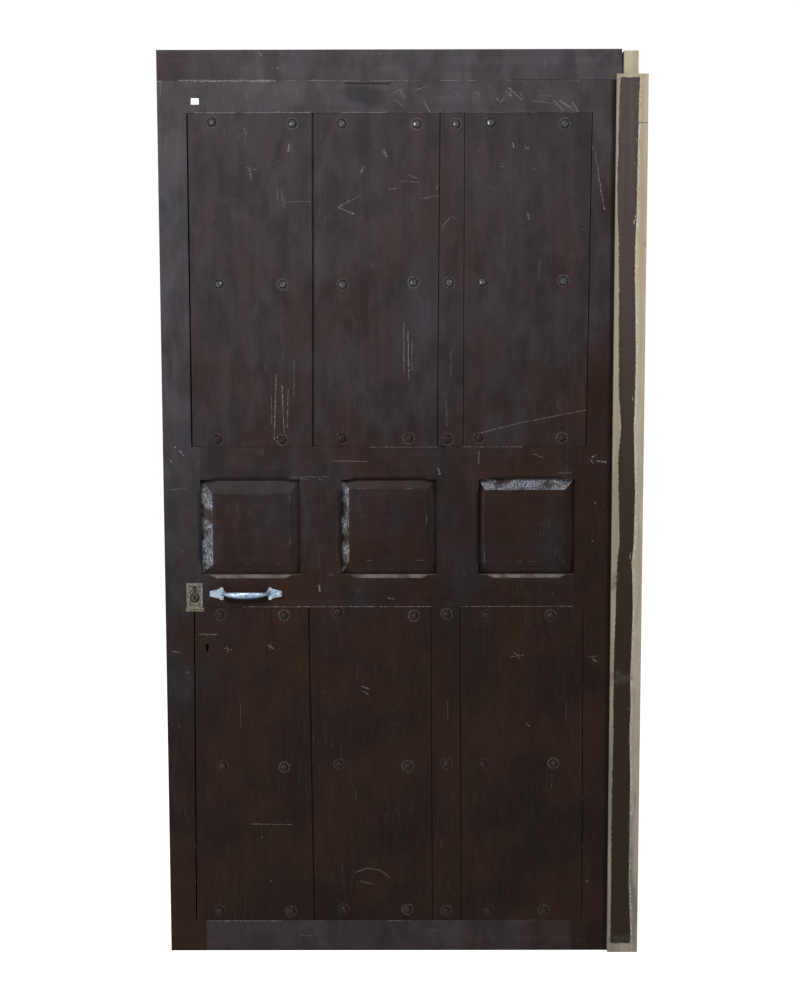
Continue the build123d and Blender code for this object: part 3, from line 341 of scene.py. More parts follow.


# Pale marks and dark cracks, in the photograph's pixels but for their widths, and a dark smudge, painted
# shade and a painted shadow, in metres.
PICKED_MARKS: dict[str, tuple[Stroke, ...]] = {
    "top_board": (
        Stroke((179, 76.2), (274, 76.6), 0.0014, 0.63, Joint.OVER_HEAD_JOINT),
        Stroke((260, 53), (262, 56), 0.002, 0.4), Stroke((379, 54.5), (384, 53), 0.0012, 0.5),
        spot((277.5, 67.9), 0.0026, 0.7), Stroke((312, 80), (316, 80), 0.0015, 0.5),
    ),
    "top_rail": (
        Stroke((179, 77.6), (240, 77.6), 0.0015, 0.63, Joint.UNDER_HEAD_JOINT),
        Stroke((250, 80), (275, 80.2), 0.0014, 0.68, Joint.UNDER_HEAD_JOINT),
        Stroke((183, 110.0), (235, 110.2), 0.0014, 0.63, Joint.OVER_UPPER_BOARDS),
        Stroke((245, 110.5), (309, 110.6), 0.0016, 0.68, Joint.OVER_UPPER_BOARDS),
        Stroke((341, 110), (386, 110.4), 0.0015, 0.58, Joint.OVER_UPPER_BOARDS),
        Stroke((393, 93), (402, 89), 0.0012, 0.5), Stroke((400, 90), (405, 98), 0.0022, 0.35),
        Stroke((396, 100), (403, 106), 0.002, 0.35), Stroke((424, 102), (430, 112), 0.0024, 0.4),
        Stroke((415, 90), (428, 86), 0.0009, 0.5), Stroke((497, 99), (501, 103), 0.001, 0.7),
        Stroke((501, 103), (504, 98), 0.001, 0.6), Stroke((506, 91), (512, 97), 0.0011, 0.7),
        Stroke((512, 97), (509, 88), 0.0009, 0.5), Stroke((509, 88), (522, 100), 0.0012, 0.75),
        Stroke((520, 93), (524, 99), 0.0009, 0.5), Stroke((555, 102), (563, 110), 0.003, 0.35),
        Stroke((560, 101), (571, 108), 0.0026, 0.4), Stroke((573, 103), (579, 112), 0.0016, 0.5),
        Stroke((575, 110), (582, 113), 0.0014, 0.5), Stroke((535, 101), (553, 103.5), 0.0009, 0.5),
        Stroke((540, 95), (552, 96), 0.0008, 0.4), Stroke((455, 92), (458, 96), 0.0012, 0.4),
        Stroke((477, 92), (479, 94), 0.0014, 0.4), Stroke((246.5, 92), (247, 98), 0.001, 0.4),
        Stroke((295, 86), (299, 96), 0.0008, 0.4),
    ),
    "lock_stile": (
        spot((175, 447), 0.0034, 0.6), Stroke((180, 451), (184, 456), 0.0024, 0.5),
        Stroke((170, 459), (172, 463), 0.0016, 0.5), Stroke((172, 651), (180, 653), 0.0014, 0.45),
        spot((188, 672), 0.0022, 0.5), spot((179, 726), 0.0024, 0.45),
        Stroke((169, 490), (186, 488), 0.0009, 0.4), spot((182, 551), 0.002, 0.5),
    ),
    "hinge_stile": (
        Stroke((595, 153), (599, 178), 0.001, 0.55), Stroke((599, 178), (604.5, 210), 0.0011, 0.7),
        spot((604.5, 209), 0.0022, 0.8), Stroke((592, 145), (594, 150), 0.0012, 0.4),
        Stroke((592, 457), (596, 455), 0.0018, 0.7), Stroke((597, 461), (606, 462), 0.002, 0.7),
        Stroke((590, 459), (593, 463), 0.0014, 0.5), spot((595, 503), 0.0022, 0.6),
        spot((604, 504), 0.0022, 0.6), Stroke((593, 659), (597, 662), 0.0016, 0.6),
        Stroke((590, 657), (596, 656), 0.0012, 0.5), spot((587, 881), 0.0028, 0.55),
        spot((592, 541), 0.0018, 0.4), spot((600, 138), 0.0016, 0.5), spot((611, 140), 0.0018, 0.5),
    ),
    "upper_left_board": (
        Stroke((289, 145), (288, 151), 0.0028, 0.55), Stroke((249, 168), (251, 178), 0.0022, 0.45),
        Stroke((245, 167), (257, 170), 0.0014, 0.35), Stroke((282, 191), (283, 207), 0.0012, 0.5),
        Stroke((278, 189), (277, 200), 0.0009, 0.45), Stroke((285, 196), (285, 209), 0.0008, 0.4),
        Stroke((287, 202), (311, 202), 0.0009, 0.45), spot((234, 200), 0.0016, 0.45),
        spot((260, 203), 0.0016, 0.45), Stroke((276, 374), (274, 440), 0.0013, 0.55),
        Stroke((282, 386), (284, 432), 0.0012, 0.6), Stroke((288, 390), (287, 428), 0.001, 0.5),
        Stroke((271, 395), (272, 425), 0.0009, 0.45), Stroke((294, 360), (294, 395), 0.0009, 0.35),
        Stroke((244, 128), (246, 134), 0.002, 0.3), spot((224, 283), 0.0012, 0.3),
        spot((187, 190), 0.0014, 0.5), Stroke((274, 165), (278, 161), 0.001, 0.3),
    ),
    "upper_middle_board": (
        Stroke((384, 150), (386, 156), 0.0026, 0.55), spot((383, 152), 0.0036, 0.3),
        Stroke((361, 173), (364, 166), 0.0018, 0.6), spot((403, 162), 0.0018, 0.6),
        Stroke((338, 207), (350, 201), 0.001, 0.6), Stroke((350, 201), (360, 196), 0.0009, 0.45),
        Stroke((338, 207), (354, 214), 0.0012, 0.65), Stroke((388, 189), (400, 188), 0.001, 0.4),
        Stroke((421, 199), (442, 194.5), 0.0009, 0.5), Stroke((409, 175), (416, 178), 0.0016, 0.35),
        Stroke((398, 181), (420, 182), 0.0009, 0.35), Stroke((404, 322), (404, 372), 0.0012, 0.5),
        Stroke((408, 330), (409, 378), 0.0014, 0.6), Stroke((412, 340), (412, 370), 0.001, 0.5),
        spot((372, 265), 0.0024, 0.4), spot((341, 297), 0.0014, 0.4),
        Stroke((438, 184), (437, 190), 0.0014, 0.4),
    ),
    "upper_narrow_board": (
        Stroke((450, 218), (446, 222), 0.0014, 0.5), Stroke((446, 222), (442, 228), 0.0011, 0.5),
        Stroke((452, 216), (455, 219), 0.0012, 0.4), Stroke((451, 350), (451, 375), 0.001, 0.35),
        Stroke((446, 400), (447, 425), 0.0009, 0.3),
    ),
    "upper_right_board": (
        Stroke((513, 143), (514, 147), 0.0024, 0.6), spot((509, 146), 0.0018, 0.4),
        Stroke((525, 146), (528, 149), 0.0022, 0.5), Stroke((528, 214), (529, 219), 0.0026, 0.5),
        spot((534, 169), 0.002, 0.55), spot((490, 188), 0.0016, 0.5), spot((479, 151), 0.0018, 0.35),
        Stroke((500, 166), (504, 167), 0.0012, 0.35), spot((545, 191), 0.0014, 0.4),
        Stroke((480, 433), (520, 423), 0.0009, 0.55), Stroke((520, 423), (586, 410), 0.0008, 0.5),
        spot((520, 290), 0.0018, 0.4), Stroke((540, 262), (538, 280), 0.0008, 0.3),
        spot((583, 229), 0.0016, 0.4), spot((591, 144), 0.0014, 0.4),
    ),
    "upper_middle_rail": (
        Stroke((333, 461), (367, 461.5), 0.001, 0.5),
        Stroke((464, 445), (522, 445.5), 0.0012, 0.53, Joint.UNDER_UPPER_BOARDS),
        Stroke((370, 444), (437, 444), 0.0013, 0.48, Joint.UNDER_UPPER_BOARDS),
        Stroke((290, 477), (329, 477), 0.0008, 0.4), Stroke((479, 452), (479, 463), 0.0012, 0.5),
        Stroke((534, 454), (543, 458), 0.001, 0.4), Stroke((558, 473), (572, 473), 0.001, 0.4),
        Stroke((438, 469), (440, 474), 0.0024, 0.6), Stroke((301, 477.5), (303, 480), 0.0018, 0.5),
        spot((577, 474), 0.0022, 0.5), Stroke((190, 450), (192, 476), 0.0007, 0.3),
    ),
    "lower_middle_rail": (
        Stroke((319, 585), (320, 591), 0.0024, 0.6), spot((316, 586), 0.0018, 0.4),
        Stroke((388, 598), (394, 599), 0.002, 0.5),
        Stroke((242, 605.5), (340, 605), 0.0011, 0.63, Joint.OVER_LOWER_BOARDS),
        Stroke((340, 605), (432, 605.5), 0.0012, 0.58, Joint.OVER_LOWER_BOARDS),
        Stroke((461, 606), (584, 606.8), 0.0011, 0.63, Joint.OVER_LOWER_BOARDS),
        Stroke((301, 548), (302, 557), 0.0026, 0.7), Stroke((439, 549), (440, 558), 0.0024, 0.7),
        Stroke((577, 550), (578, 559), 0.0024, 0.65), Stroke((589, 593), (594, 594), 0.0014, 0.45),
        spot((552, 593), 0.0014, 0.35),
    ),
    "lower_left_board": (
        Stroke((199, 634), (217, 634.5), 0.0011, 0.55), Stroke((224, 648), (232, 650), 0.0012, 0.5),
        Stroke((227, 646), (228, 652), 0.001, 0.5), Stroke((268, 645), (274, 649), 0.0012, 0.5),
        Stroke((271, 643), (270, 650), 0.001, 0.4), Stroke((249, 824), (292, 824.5), 0.0009, 0.45),
        spot((262, 837), 0.0022, 0.5), spot((271, 881), 0.0022, 0.5),
        Stroke((240, 700), (241, 730), 0.0008, 0.25), spot((279, 649), 0.0014, 0.4),
        spot((199, 752), 0.0016, 0.35),
    ),
    "lower_middle_board": (
        Stroke((362, 686), (369, 689), 0.0022, 0.5), Stroke((363, 691), (368, 694), 0.0016, 0.45),
        Stroke((357, 872), (366, 868), 0.0018, 0.35), Stroke((366, 868), (380, 870), 0.0016, 0.35),
        Stroke((380, 870), (389, 877), 0.0018, 0.35), Stroke((360, 881), (372, 884), 0.0016, 0.3),
        spot((340, 640), 0.0014, 0.3), Stroke((355, 790), (356, 800), 0.0009, 0.3),
    ),
    "lower_narrow_board": (
        Stroke((447, 700), (448, 720), 0.0009, 0.25), Stroke((441, 840), (442, 850), 0.001, 0.3),
    ),
    "lower_right_board": (
        Stroke((510, 657), (524, 655), 0.0012, 0.4), Stroke((514, 652), (521, 660), 0.0012, 0.35),
        spot((501, 727), 0.002, 0.4), Stroke((526, 723), (530, 727), 0.0018, 0.4),
        spot((569, 921), 0.0018, 0.5), spot((545, 640), 0.0014, 0.35),
        Stroke((566, 700), (566, 722), 0.0008, 0.25),
    ),
    "bottom_rail": (
        Stroke((207, 918.5), (281, 919), 0.0013, 0.63, Joint.UNDER_LOWER_BOARDS),
        Stroke((388, 918.8), (405, 918.8), 0.0013, 0.58, Joint.UNDER_LOWER_BOARDS),
        Stroke((430, 930), (436, 931), 0.0012, 0.3), Stroke((300, 935), (312, 936), 0.001, 0.3),
    ),
}

PICKED_CRACKS: dict[str, tuple[Stroke, ...]] = {
    "top_board": (
        Stroke((510, 79), (560, 79), 0.0012, 0.8, Joint.HEAD_CRACK),
        Stroke((560, 78.5), (620, 79), 0.001, 0.7, Joint.HEAD_CRACK),
    ),
    "top_rail": (
        Stroke((345, 83.5), (389, 83.5), 0.0022, 0.9),
    ),
}

SMUDGES_AND_PAINTED_SHADE: dict[str, tuple[Stroke, ...]] = {
    "top_rail": (Stroke((-0.110, 1.985), (-0.060, 1.975), 0.0300, 0.45),),
    # Painted shade on the leaf in the corner beside the jamb's stop, a dark band down the whole edge.
    "hinge_stile": (Stroke((0.479, 0.060), (0.479, 2.010), 0.0130, 0.70),),
    # Painted shadow of the pull handle on the rail below it.
    "lower_middle_rail": (Stroke((-0.405, 0.838), (-0.320, 0.838), 0.0110, 0.75),),
}


class Effects:
    """The effects that several finishes share, each a node group that is made once."""

    BANDS_PER_METRE = 55.0
    PORES_PER_METRE = 480.0
    DUST_AND_HIGHLIGHT_PER_METRE = 38.0
    SCUFFED_AREAS_PER_METRE = 7.0
    SCUFF_LEANS = ((0.32, (60.0, 60.0, 5.0)), (-1.05, (70.0, 70.0, 7.0)))

    def __init__(self) -> None:
        """Makes every group."""
        self.grain = self._grain()
        self.wear = self._wear()
        self.scuffs = self._scuffs()
        self.stroke = self._stroke()
        self.dust_and_highlight = self._dust_and_highlight()

    @staticmethod
    def _start(name: str, inputs: dict[str, str],
               outputs: Iterable[str]) -> tuple[Graph, bpy.types.Node, bpy.types.Node]:
        """Opens a new group.

        Args:
            name: the group's name.
            inputs: kind of socket by input name.
            outputs: names of its values.

        Returns:
            Its graph, its input node and its output node.
        """
        tree = bpy.data.node_groups.new(name, "ShaderNodeTree")
        for label, kind in inputs.items():
            tree.interface.new_socket(label, in_out="INPUT", socket_type="NodeSocket" + kind)
        for label in outputs:
            tree.interface.new_socket(label, in_out="OUTPUT", socket_type="NodeSocketFloat")
        graph = Graph(tree)
        return graph, tree.nodes.new("NodeGroupInput"), tree.nodes.new("NodeGroupOutput")

    def _grain(self) -> bpy.types.NodeTree:
        """Wood grain: noise squeezed along the grain, coarse for the bands of growth and fine for the pores.

        Returns:
            The group, with Bands, Pores and Height.
        """
        graph, given, out = self._start(
            "wood_grain", {"Vector": "Vector", "Squeeze": "Vector", "Scale": "Float"},
            ("Bands", "Pores", "Height"),
        )
        along = graph.vector("MULTIPLY", given.outputs["Vector"], given.outputs["Squeeze"])
        size = {0: along, "Scale": given.outputs["Scale"]}
        scaled = graph.node("VectorMath", size, operation="SCALE").outputs[0]
        bands = graph.step(graph.noise(scaled, self.BANDS_PER_METRE, 3.0, 0.6), 0.34, 0.66)
        pores = graph.step(graph.noise(scaled, self.PORES_PER_METRE, 1.0, 0.6), 0.4, 0.62)
        height = graph.math("ADD", graph.times(bands, 0.5), graph.times(pores, 0.5))
        for name, value in (("Bands", bands), ("Pores", pores), ("Height", height)):
            graph.put(out.inputs[name], value)
        return graph.tree

    def _wear(self) -> bpy.types.NodeTree:
        """Wear along edges, which on the brighter studs also paints their glints: where the normal rounded
        over the edge leaves the face's own, broken up by noise.

        Returns:
            The group, with Mask.
        """
        graph, given, out = self._start(
            "edge_wear", {"Vector": "Vector", "Radius": "Float", "Amount": "Float", "Scale": "Float"},
            ("Mask",),
        )
        rounded = graph.node("Bevel", {"Radius": given.outputs["Radius"]}, samples=4).outputs[0]
        facing = graph.node("NewGeometry").outputs["True Normal"]
        bend = graph.math("SUBTRACT", 1.0, graph.vector("DOT_PRODUCT", rounded, facing, output=1))
        edge = graph.step(bend, 0.01, 0.16)
        noise = graph.noise(given.outputs["Vector"], given.outputs["Scale"], 5.0, 0.62)
        level = graph.math("ADD", noise, graph.math("SUBTRACT", given.outputs["Amount"], 0.5))
        broken = graph.step(level, 0.47, 0.6)
        graph.put(out.inputs["Mask"], graph.times(edge, broken))
        return graph.tree

    def _scuffs(self) -> bpy.types.NodeTree:
        """Fine scratches in two leaning directions: thin bands of squeezed noise, where a broad one is high.

        Returns:
            The group, with Mask.
        """
        graph, given, out = self._start("scuffs", {"Vector": "Vector", "Amount": "Float"}, ("Mask",))
        found = []
        for lean, squeeze in self.SCUFF_LEANS:
            turned = graph.node(
                "Mapping", {"Vector": given.outputs["Vector"], "Rotation": (0.0, lean, 0.0), "Scale": squeeze}
            ).outputs[0]
            line = graph.math("ABSOLUTE", graph.math("SUBTRACT", graph.noise(turned, 3.0, 2.0, 0.4), 0.5))
            thin = graph.step(line, 0.0, 0.007, 1.0, 0.0)
            found.append(graph.times(thin, graph.step(graph.noise(turned, 1.1, 1.0), 0.55, 0.66)))
        both = graph.math("MAXIMUM", *found)
        areas = graph.noise(given.outputs["Vector"], self.SCUFFED_AREAS_PER_METRE, 2.0)
        where = graph.step(areas, 0.46, 0.64)
        share = graph.times(where, given.outputs["Amount"])
        graph.put(out.inputs["Mask"], graph.times(both, share))
        return graph.tree

    def _dust_and_highlight(self) -> bpy.types.NodeTree:
        """Dust and painted highlight: lie where a face looks up, uneven, and never on the broad upright
        faces.

        Returns:
            The group, with Mask.
        """
        graph, given, out = self._start("dust_and_highlight", {"Vector": "Vector", "Amount": "Float"}, ("Mask",))
        up = graph.node("SeparateXYZ", {0: graph.node("TexCoord").outputs["Normal"]}).outputs["Z"]
        noise = graph.noise(given.outputs["Vector"], self.DUST_AND_HIGHLIGHT_PER_METRE, 3.0, 0.6)
        uneven = graph.step(noise, 0.3, 0.62, 0.35, 1.0)
        lying = graph.times(graph.step(up, 0.35, 0.75), uneven)
        graph.put(out.inputs["Mask"], graph.times(lying, given.outputs["Amount"]))
        return graph.tree

    def _stroke(self) -> bpy.types.NodeTree:
        """One stroke: how near a point is to the line from Start to End, measured flat on the door's face.

        Returns:
            The group, with Mask.
        """
        graph, given, out = self._start(
            "stroke",
            {"Vector": "Vector", "Start": "Vector", "End": "Vector", "Width": "Float", "Strength": "Float"},
            ("Mask",),
        )
        run = graph.vector("SUBTRACT", given.outputs["End"], given.outputs["Start"])
        here = graph.vector("SUBTRACT", given.outputs["Vector"], given.outputs["Start"])
        share = graph.math(
            "DIVIDE", graph.vector("DOT_PRODUCT", here, run, output=1),
            graph.vector("DOT_PRODUCT", run, run, output=1), clamp=True,
        )
        nearest = graph.node("VectorMath", {0: run, "Scale": share}, operation="SCALE").outputs[0]
        away = graph.vector("LENGTH", graph.vector("SUBTRACT", here, nearest), output=1)
        near = graph.math("DIVIDE", away, given.outputs["Width"])
        mask = graph.times(graph.step(near, 0.35, 1.0, 1.0, 0.0), given.outputs["Strength"])
        graph.put(out.inputs["Mask"], mask)
        return graph.tree


def new_material(name: str) -> tuple[bpy.types.Material, Graph, bpy.types.Node]:
    """Makes a material with a Principled shader.

    Args:
        name: the material's name.

    Returns:
        The material, its graph and its shader node.
    """
    material = bpy.data.materials.new(name)
    material.use_nodes = True
    graph = Graph(material.node_tree)
    shader = graph.node("BsdfPrincipled")
    graph.node("OutputMaterial", {"Surface": shader.outputs[0]})
    return material, graph, shader


def add_bump(graph: Graph, shader: bpy.types.Node, height: bpy.types.NodeSocket, strength: float,
             depth: float) -> None:
    """Gives a shader a bump.

    Args:
        graph: the material's graph.
        shader: its Principled shader.
        height: height at each point, from 0 to 1.
        strength: share of the bump that shows.
        depth: how deep a height of 1 is.
    """
    bump = graph.node("Bump", {"Strength": strength, "Distance": depth, "Height": height})
    graph.put(shader.inputs["Normal"], bump.outputs[0])


def looked_at(graph: Graph) -> bpy.types.NodeSocket:
    """1 where the camera, a gloss or a glass looks, and 0 for the light that falls on the door.

    Args:
        graph: the graph of the floor or the world.

    Returns:
        That mask.
    """
    ray = graph.node("LightPath").outputs
    mirrored = graph.math("MAXIMUM", ray["Is Glossy Ray"], ray["Is Transmission Ray"])
    return graph.math("MAXIMUM", ray["Is Camera Ray"], mirrored)


def drawn(graph: Graph, effects: Effects, point: bpy.types.NodeSocket,
          marks: tuple[Stroke, ...]) -> bpy.types.NodeSocket:
    """Draws a list of strokes.

    Args:
        graph: the material's graph.
        effects: the shared effects.
        point: the point on the front, with its y set to 0.
        marks: the strokes, at least one.

    Returns:
        The mask of the strongest at each point.
    """
    strongest = None
    for mark in marks:
        (start_x, start_z), (end_x, end_z) = mark.start, mark.end
        if mark.start == mark.end:
            end_x += SPOT_LENGTH
        mask = graph.group(
            effects.stroke, Vector=point, Start=(start_x, 0.0, start_z), End=(end_x, 0.0, end_z),
            Width=mark.width, Strength=mark.strength,
        ).outputs[0]
        strongest = mask if strongest is None else graph.math("MAXIMUM", strongest, mask)
    return strongest


@dataclass(frozen=True)
class PaintedTimber:
    """Old brown satin paint on timber.

    The grain shows through it, a painted sheen greys it toward the head of the door, and edges and scratches
    are paler.
    """

    name: str
    grain: Grain
    marks: tuple[Stroke, ...] = ()
    cracks_and_painted_shade: tuple[Stroke, ...] = ()
    deep: Colour = (0.0088, 0.0042, 0.0030)
    warm: Colour = (0.0205, 0.0086, 0.0044)
    # Colours of the painted sheen: grey-purple, and bluer in patches.
    painted_sheen: Colour = (0.068, 0.058, 0.066)
    painted_sheen_blue: Colour = (0.050, 0.053, 0.070)
    shade: Colour = (0.0040, 0.0028, 0.0026)
    sheen: Colour = (0.060, 0.050, 0.045)
    worn: Colour = (0.27, 0.245, 0.235)
    crazed_paint_and_sheen: Colour = (0.30, 0.33, 0.38)
    crack_and_shade: Colour = (0.0015, 0.0010, 0.0010)
    settled_dust_and_highlight: Colour = (0.135, 0.118, 0.108)
    # Where the painted sheen begins and ends in height, its strength, its lean to the lock side, and its blue
    # share.
    painted_sheen_low: float = 0.55
    painted_sheen_high: float = 1.95
    painted_sheen_share: float = 0.44
    painted_sheen_lean: float = -0.32
    painted_sheen_blue_share: float = 0.55
    edge_radius: float = 0.0018
    edge_amount: float = 0.40
    scuff_amount: float = 0.22
    dust_and_highlight_amount: float = 0.5
    roughness: float = 0.36
    speckled_left: float = 0.0
    speckled_top: float = 0.0
    broad_scale: float = 5.0
    patch_scale: float = 13.0
    blot_scale: float = 24.0
    blot_share: float = 0.6
    band_share: float = 0.14
    pore_share: float = 0.06
    fine_scale: float = 330.0
    wear_scale: float = 45.0
    wear_share: float = 0.6
    curl_scale: float = 210.0
    curl_reach: float = 0.0075
    marks_fade: Place = (-0.014, -0.012)
    specular: float = 0.06
    bump_strength: float = 0.16
    bump_depth: float = 0.0005

    def _paint(self, graph: Graph, place: bpy.types.NodeSocket,
               grain: bpy.types.NodeOutputs) -> bpy.types.NodeSocket:
        """Colour of the sound paint: brown in two depths, under a painted sheen that greys it toward the head
        and the lock side.

        Args:
            graph: the material's graph.
            place: the point on the door.
            grain: outputs of the grain effect.

        Returns:
            The colour.
        """
        at = graph.node("SeparateXYZ", {0: place}).outputs
        tall = graph.vector("MULTIPLY", place, (1.0, 1.0, 0.45))
        broad = graph.noise(place, self.broad_scale, 3.0, 0.55)
        paint = graph.mix(graph.step(broad, 0.38, 0.62), self.deep, self.warm)
        # Painted sheen: a grey veil that grows toward the head and the lock side, bluer in patches.
        rise = graph.math("MULTIPLY_ADD", at["X"], self.painted_sheen_lean, at["Z"])
        rise = graph.math("MULTIPLY_ADD", graph.math("SUBTRACT", broad, 0.5), -1.5, rise)
        share = graph.step(rise, self.painted_sheen_low, self.painted_sheen_high, 0.0, self.painted_sheen_share)
        paint = graph.mix(share, paint, self.painted_sheen)
        patches = graph.step(graph.noise(tall, self.patch_scale, 4.0, 0.6, 0.5), 0.47, 0.66)
        paint = graph.mix(graph.times(patches, share, self.painted_sheen_blue_share), paint, self.painted_sheen_blue)
        blots = graph.step(graph.noise(tall, self.blot_scale, 4.0, 0.62, 0.4), 0.34, 0.62, 0.62, 0.0)
        paint = graph.mix(graph.times(blots, self.blot_share), paint, self.shade)
        paint = graph.mix(graph.times(grain["Bands"], self.band_share), paint, self.shade)
        return graph.mix(graph.times(grain["Pores"], self.pore_share), paint, self.sheen)

    def _speckle(self, graph: Graph, place: bpy.types.NodeSocket) -> bpy.types.NodeSocket:
        """Crazed pale paint and a painted sheen with glints on a raised panel's bevels, on the one that looks
        left or the one that looks up.

        Args:
            graph: the material's graph.
            place: the point on the door.

        Returns:
            Its mask.
        """
        normal = graph.node("SeparateXYZ", {0: graph.node("TexCoord").outputs["Normal"]}).outputs
        lean = {"Vector": place, "Rotation": (0.0, 0.3, 0.0), "Scale": (1.0, 1.0, 0.4)}
        leaning = graph.node("Mapping", lean).outputs[0]
        crazed_and_sheen = graph.step(graph.noise(leaning, 430.0, 2.0, 0.6), 0.44, 0.62, 0.18, 1.0)
        speckle_areas = graph.step(graph.noise(place, 30.0, 3.0, 0.6), 0.36, 0.62)
        left = graph.step(normal["X"], -0.22, -0.12, self.speckled_left, 0.0)
        top = graph.step(normal["Z"], 0.12, 0.22, 0.0, self.speckled_top)
        sloping = graph.step(normal["Y"], -0.995, -0.985)
        share = graph.times(sloping, graph.math("MAXIMUM", left, top))
        return graph.times(crazed_and_sheen, speckle_areas, share)

    def material(self, effects: Effects) -> bpy.types.Material:
        """Builds the material.

        Args:
            effects: the shared effects.

        Returns:
            The material.
        """
        material, graph, shader = new_material(self.name)
        place = graph.node("TexCoord").outputs["Object"]
        grain = graph.group(effects.grain, Vector=place, Squeeze=self.grain.value, Scale=1.0).outputs
        paint = self._paint(graph, place, grain)
        fine = graph.noise(place, self.fine_scale, 2.0, 0.6)
        pale = graph.group(effects.scuffs, Vector=place, Amount=self.scuff_amount).outputs[0]
        edges = graph.group(
            effects.wear, Vector=place, Radius=self.edge_radius, Amount=self.edge_amount,
            Scale=self.wear_scale,
        ).outputs[0]
        pale = graph.math("MAXIMUM", pale, graph.times(edges, self.wear_share))
        front = graph.step(graph.node("SeparateXYZ", {0: place}).outputs["Y"], *self.marks_fade, 1.0, 0.0)
        flat = graph.vector("MULTIPLY", place, (1.0, 0.0, 1.0))
        curls = {"Vector": place, "Scale": self.curl_scale, "Detail": 3.0, "Roughness": 0.65}
        curl = graph.vector("SUBTRACT", graph.node("TexNoise", curls).outputs[1], (0.5, 0.5, 0.5))
        curl = graph.vector("MULTIPLY", curl, (self.curl_reach, 0.0, self.curl_reach))
        point = graph.vector("ADD", flat, curl)
        broken = graph.times(graph.step(fine, 0.40, 0.60, 0.15, 1.0), front)
        if self.marks:
            scratched = graph.times(drawn(graph, effects, point, self.marks), broken)
            pale = graph.math("MAXIMUM", pale, scratched)
        colour = graph.mix(pale, paint, self.worn)
        # Painted sheen with glints, and crazed pale paint, on the panel bevels that look left or up.
        if self.speckled_left or self.speckled_top:
            colour = graph.mix(self._speckle(graph, place), colour, self.crazed_paint_and_sheen)
        # Dust and painted highlight: faces that look up are mixed toward a paler colour.
        dust_and_highlight = graph.group(effects.dust_and_highlight, Vector=place, Amount=self.dust_and_highlight_amount).outputs[0]
        colour = graph.mix(dust_and_highlight, colour, self.settled_dust_and_highlight)
        # Dark cracks and smudges, with painted shade and shadow, drawn in near-black.
        if self.cracks_and_painted_shade:
            dark = graph.times(drawn(graph, effects, flat, self.cracks_and_painted_shade), front)
            colour = graph.mix(dark, colour, self.crack_and_shade)
        graph.put(shader.inputs["Base Color"], colour)

        dull = graph.math("MULTIPLY_ADD", fine, 0.2, self.roughness - 0.1)
        graph.put(shader.inputs["Roughness"], graph.math("MULTIPLY_ADD", pale, 0.3, dull))
        shader.inputs["Specular IOR Level"].default_value = self.specular
        add_bump(graph, shader, grain["Height"], self.bump_strength, self.bump_depth)
        return material


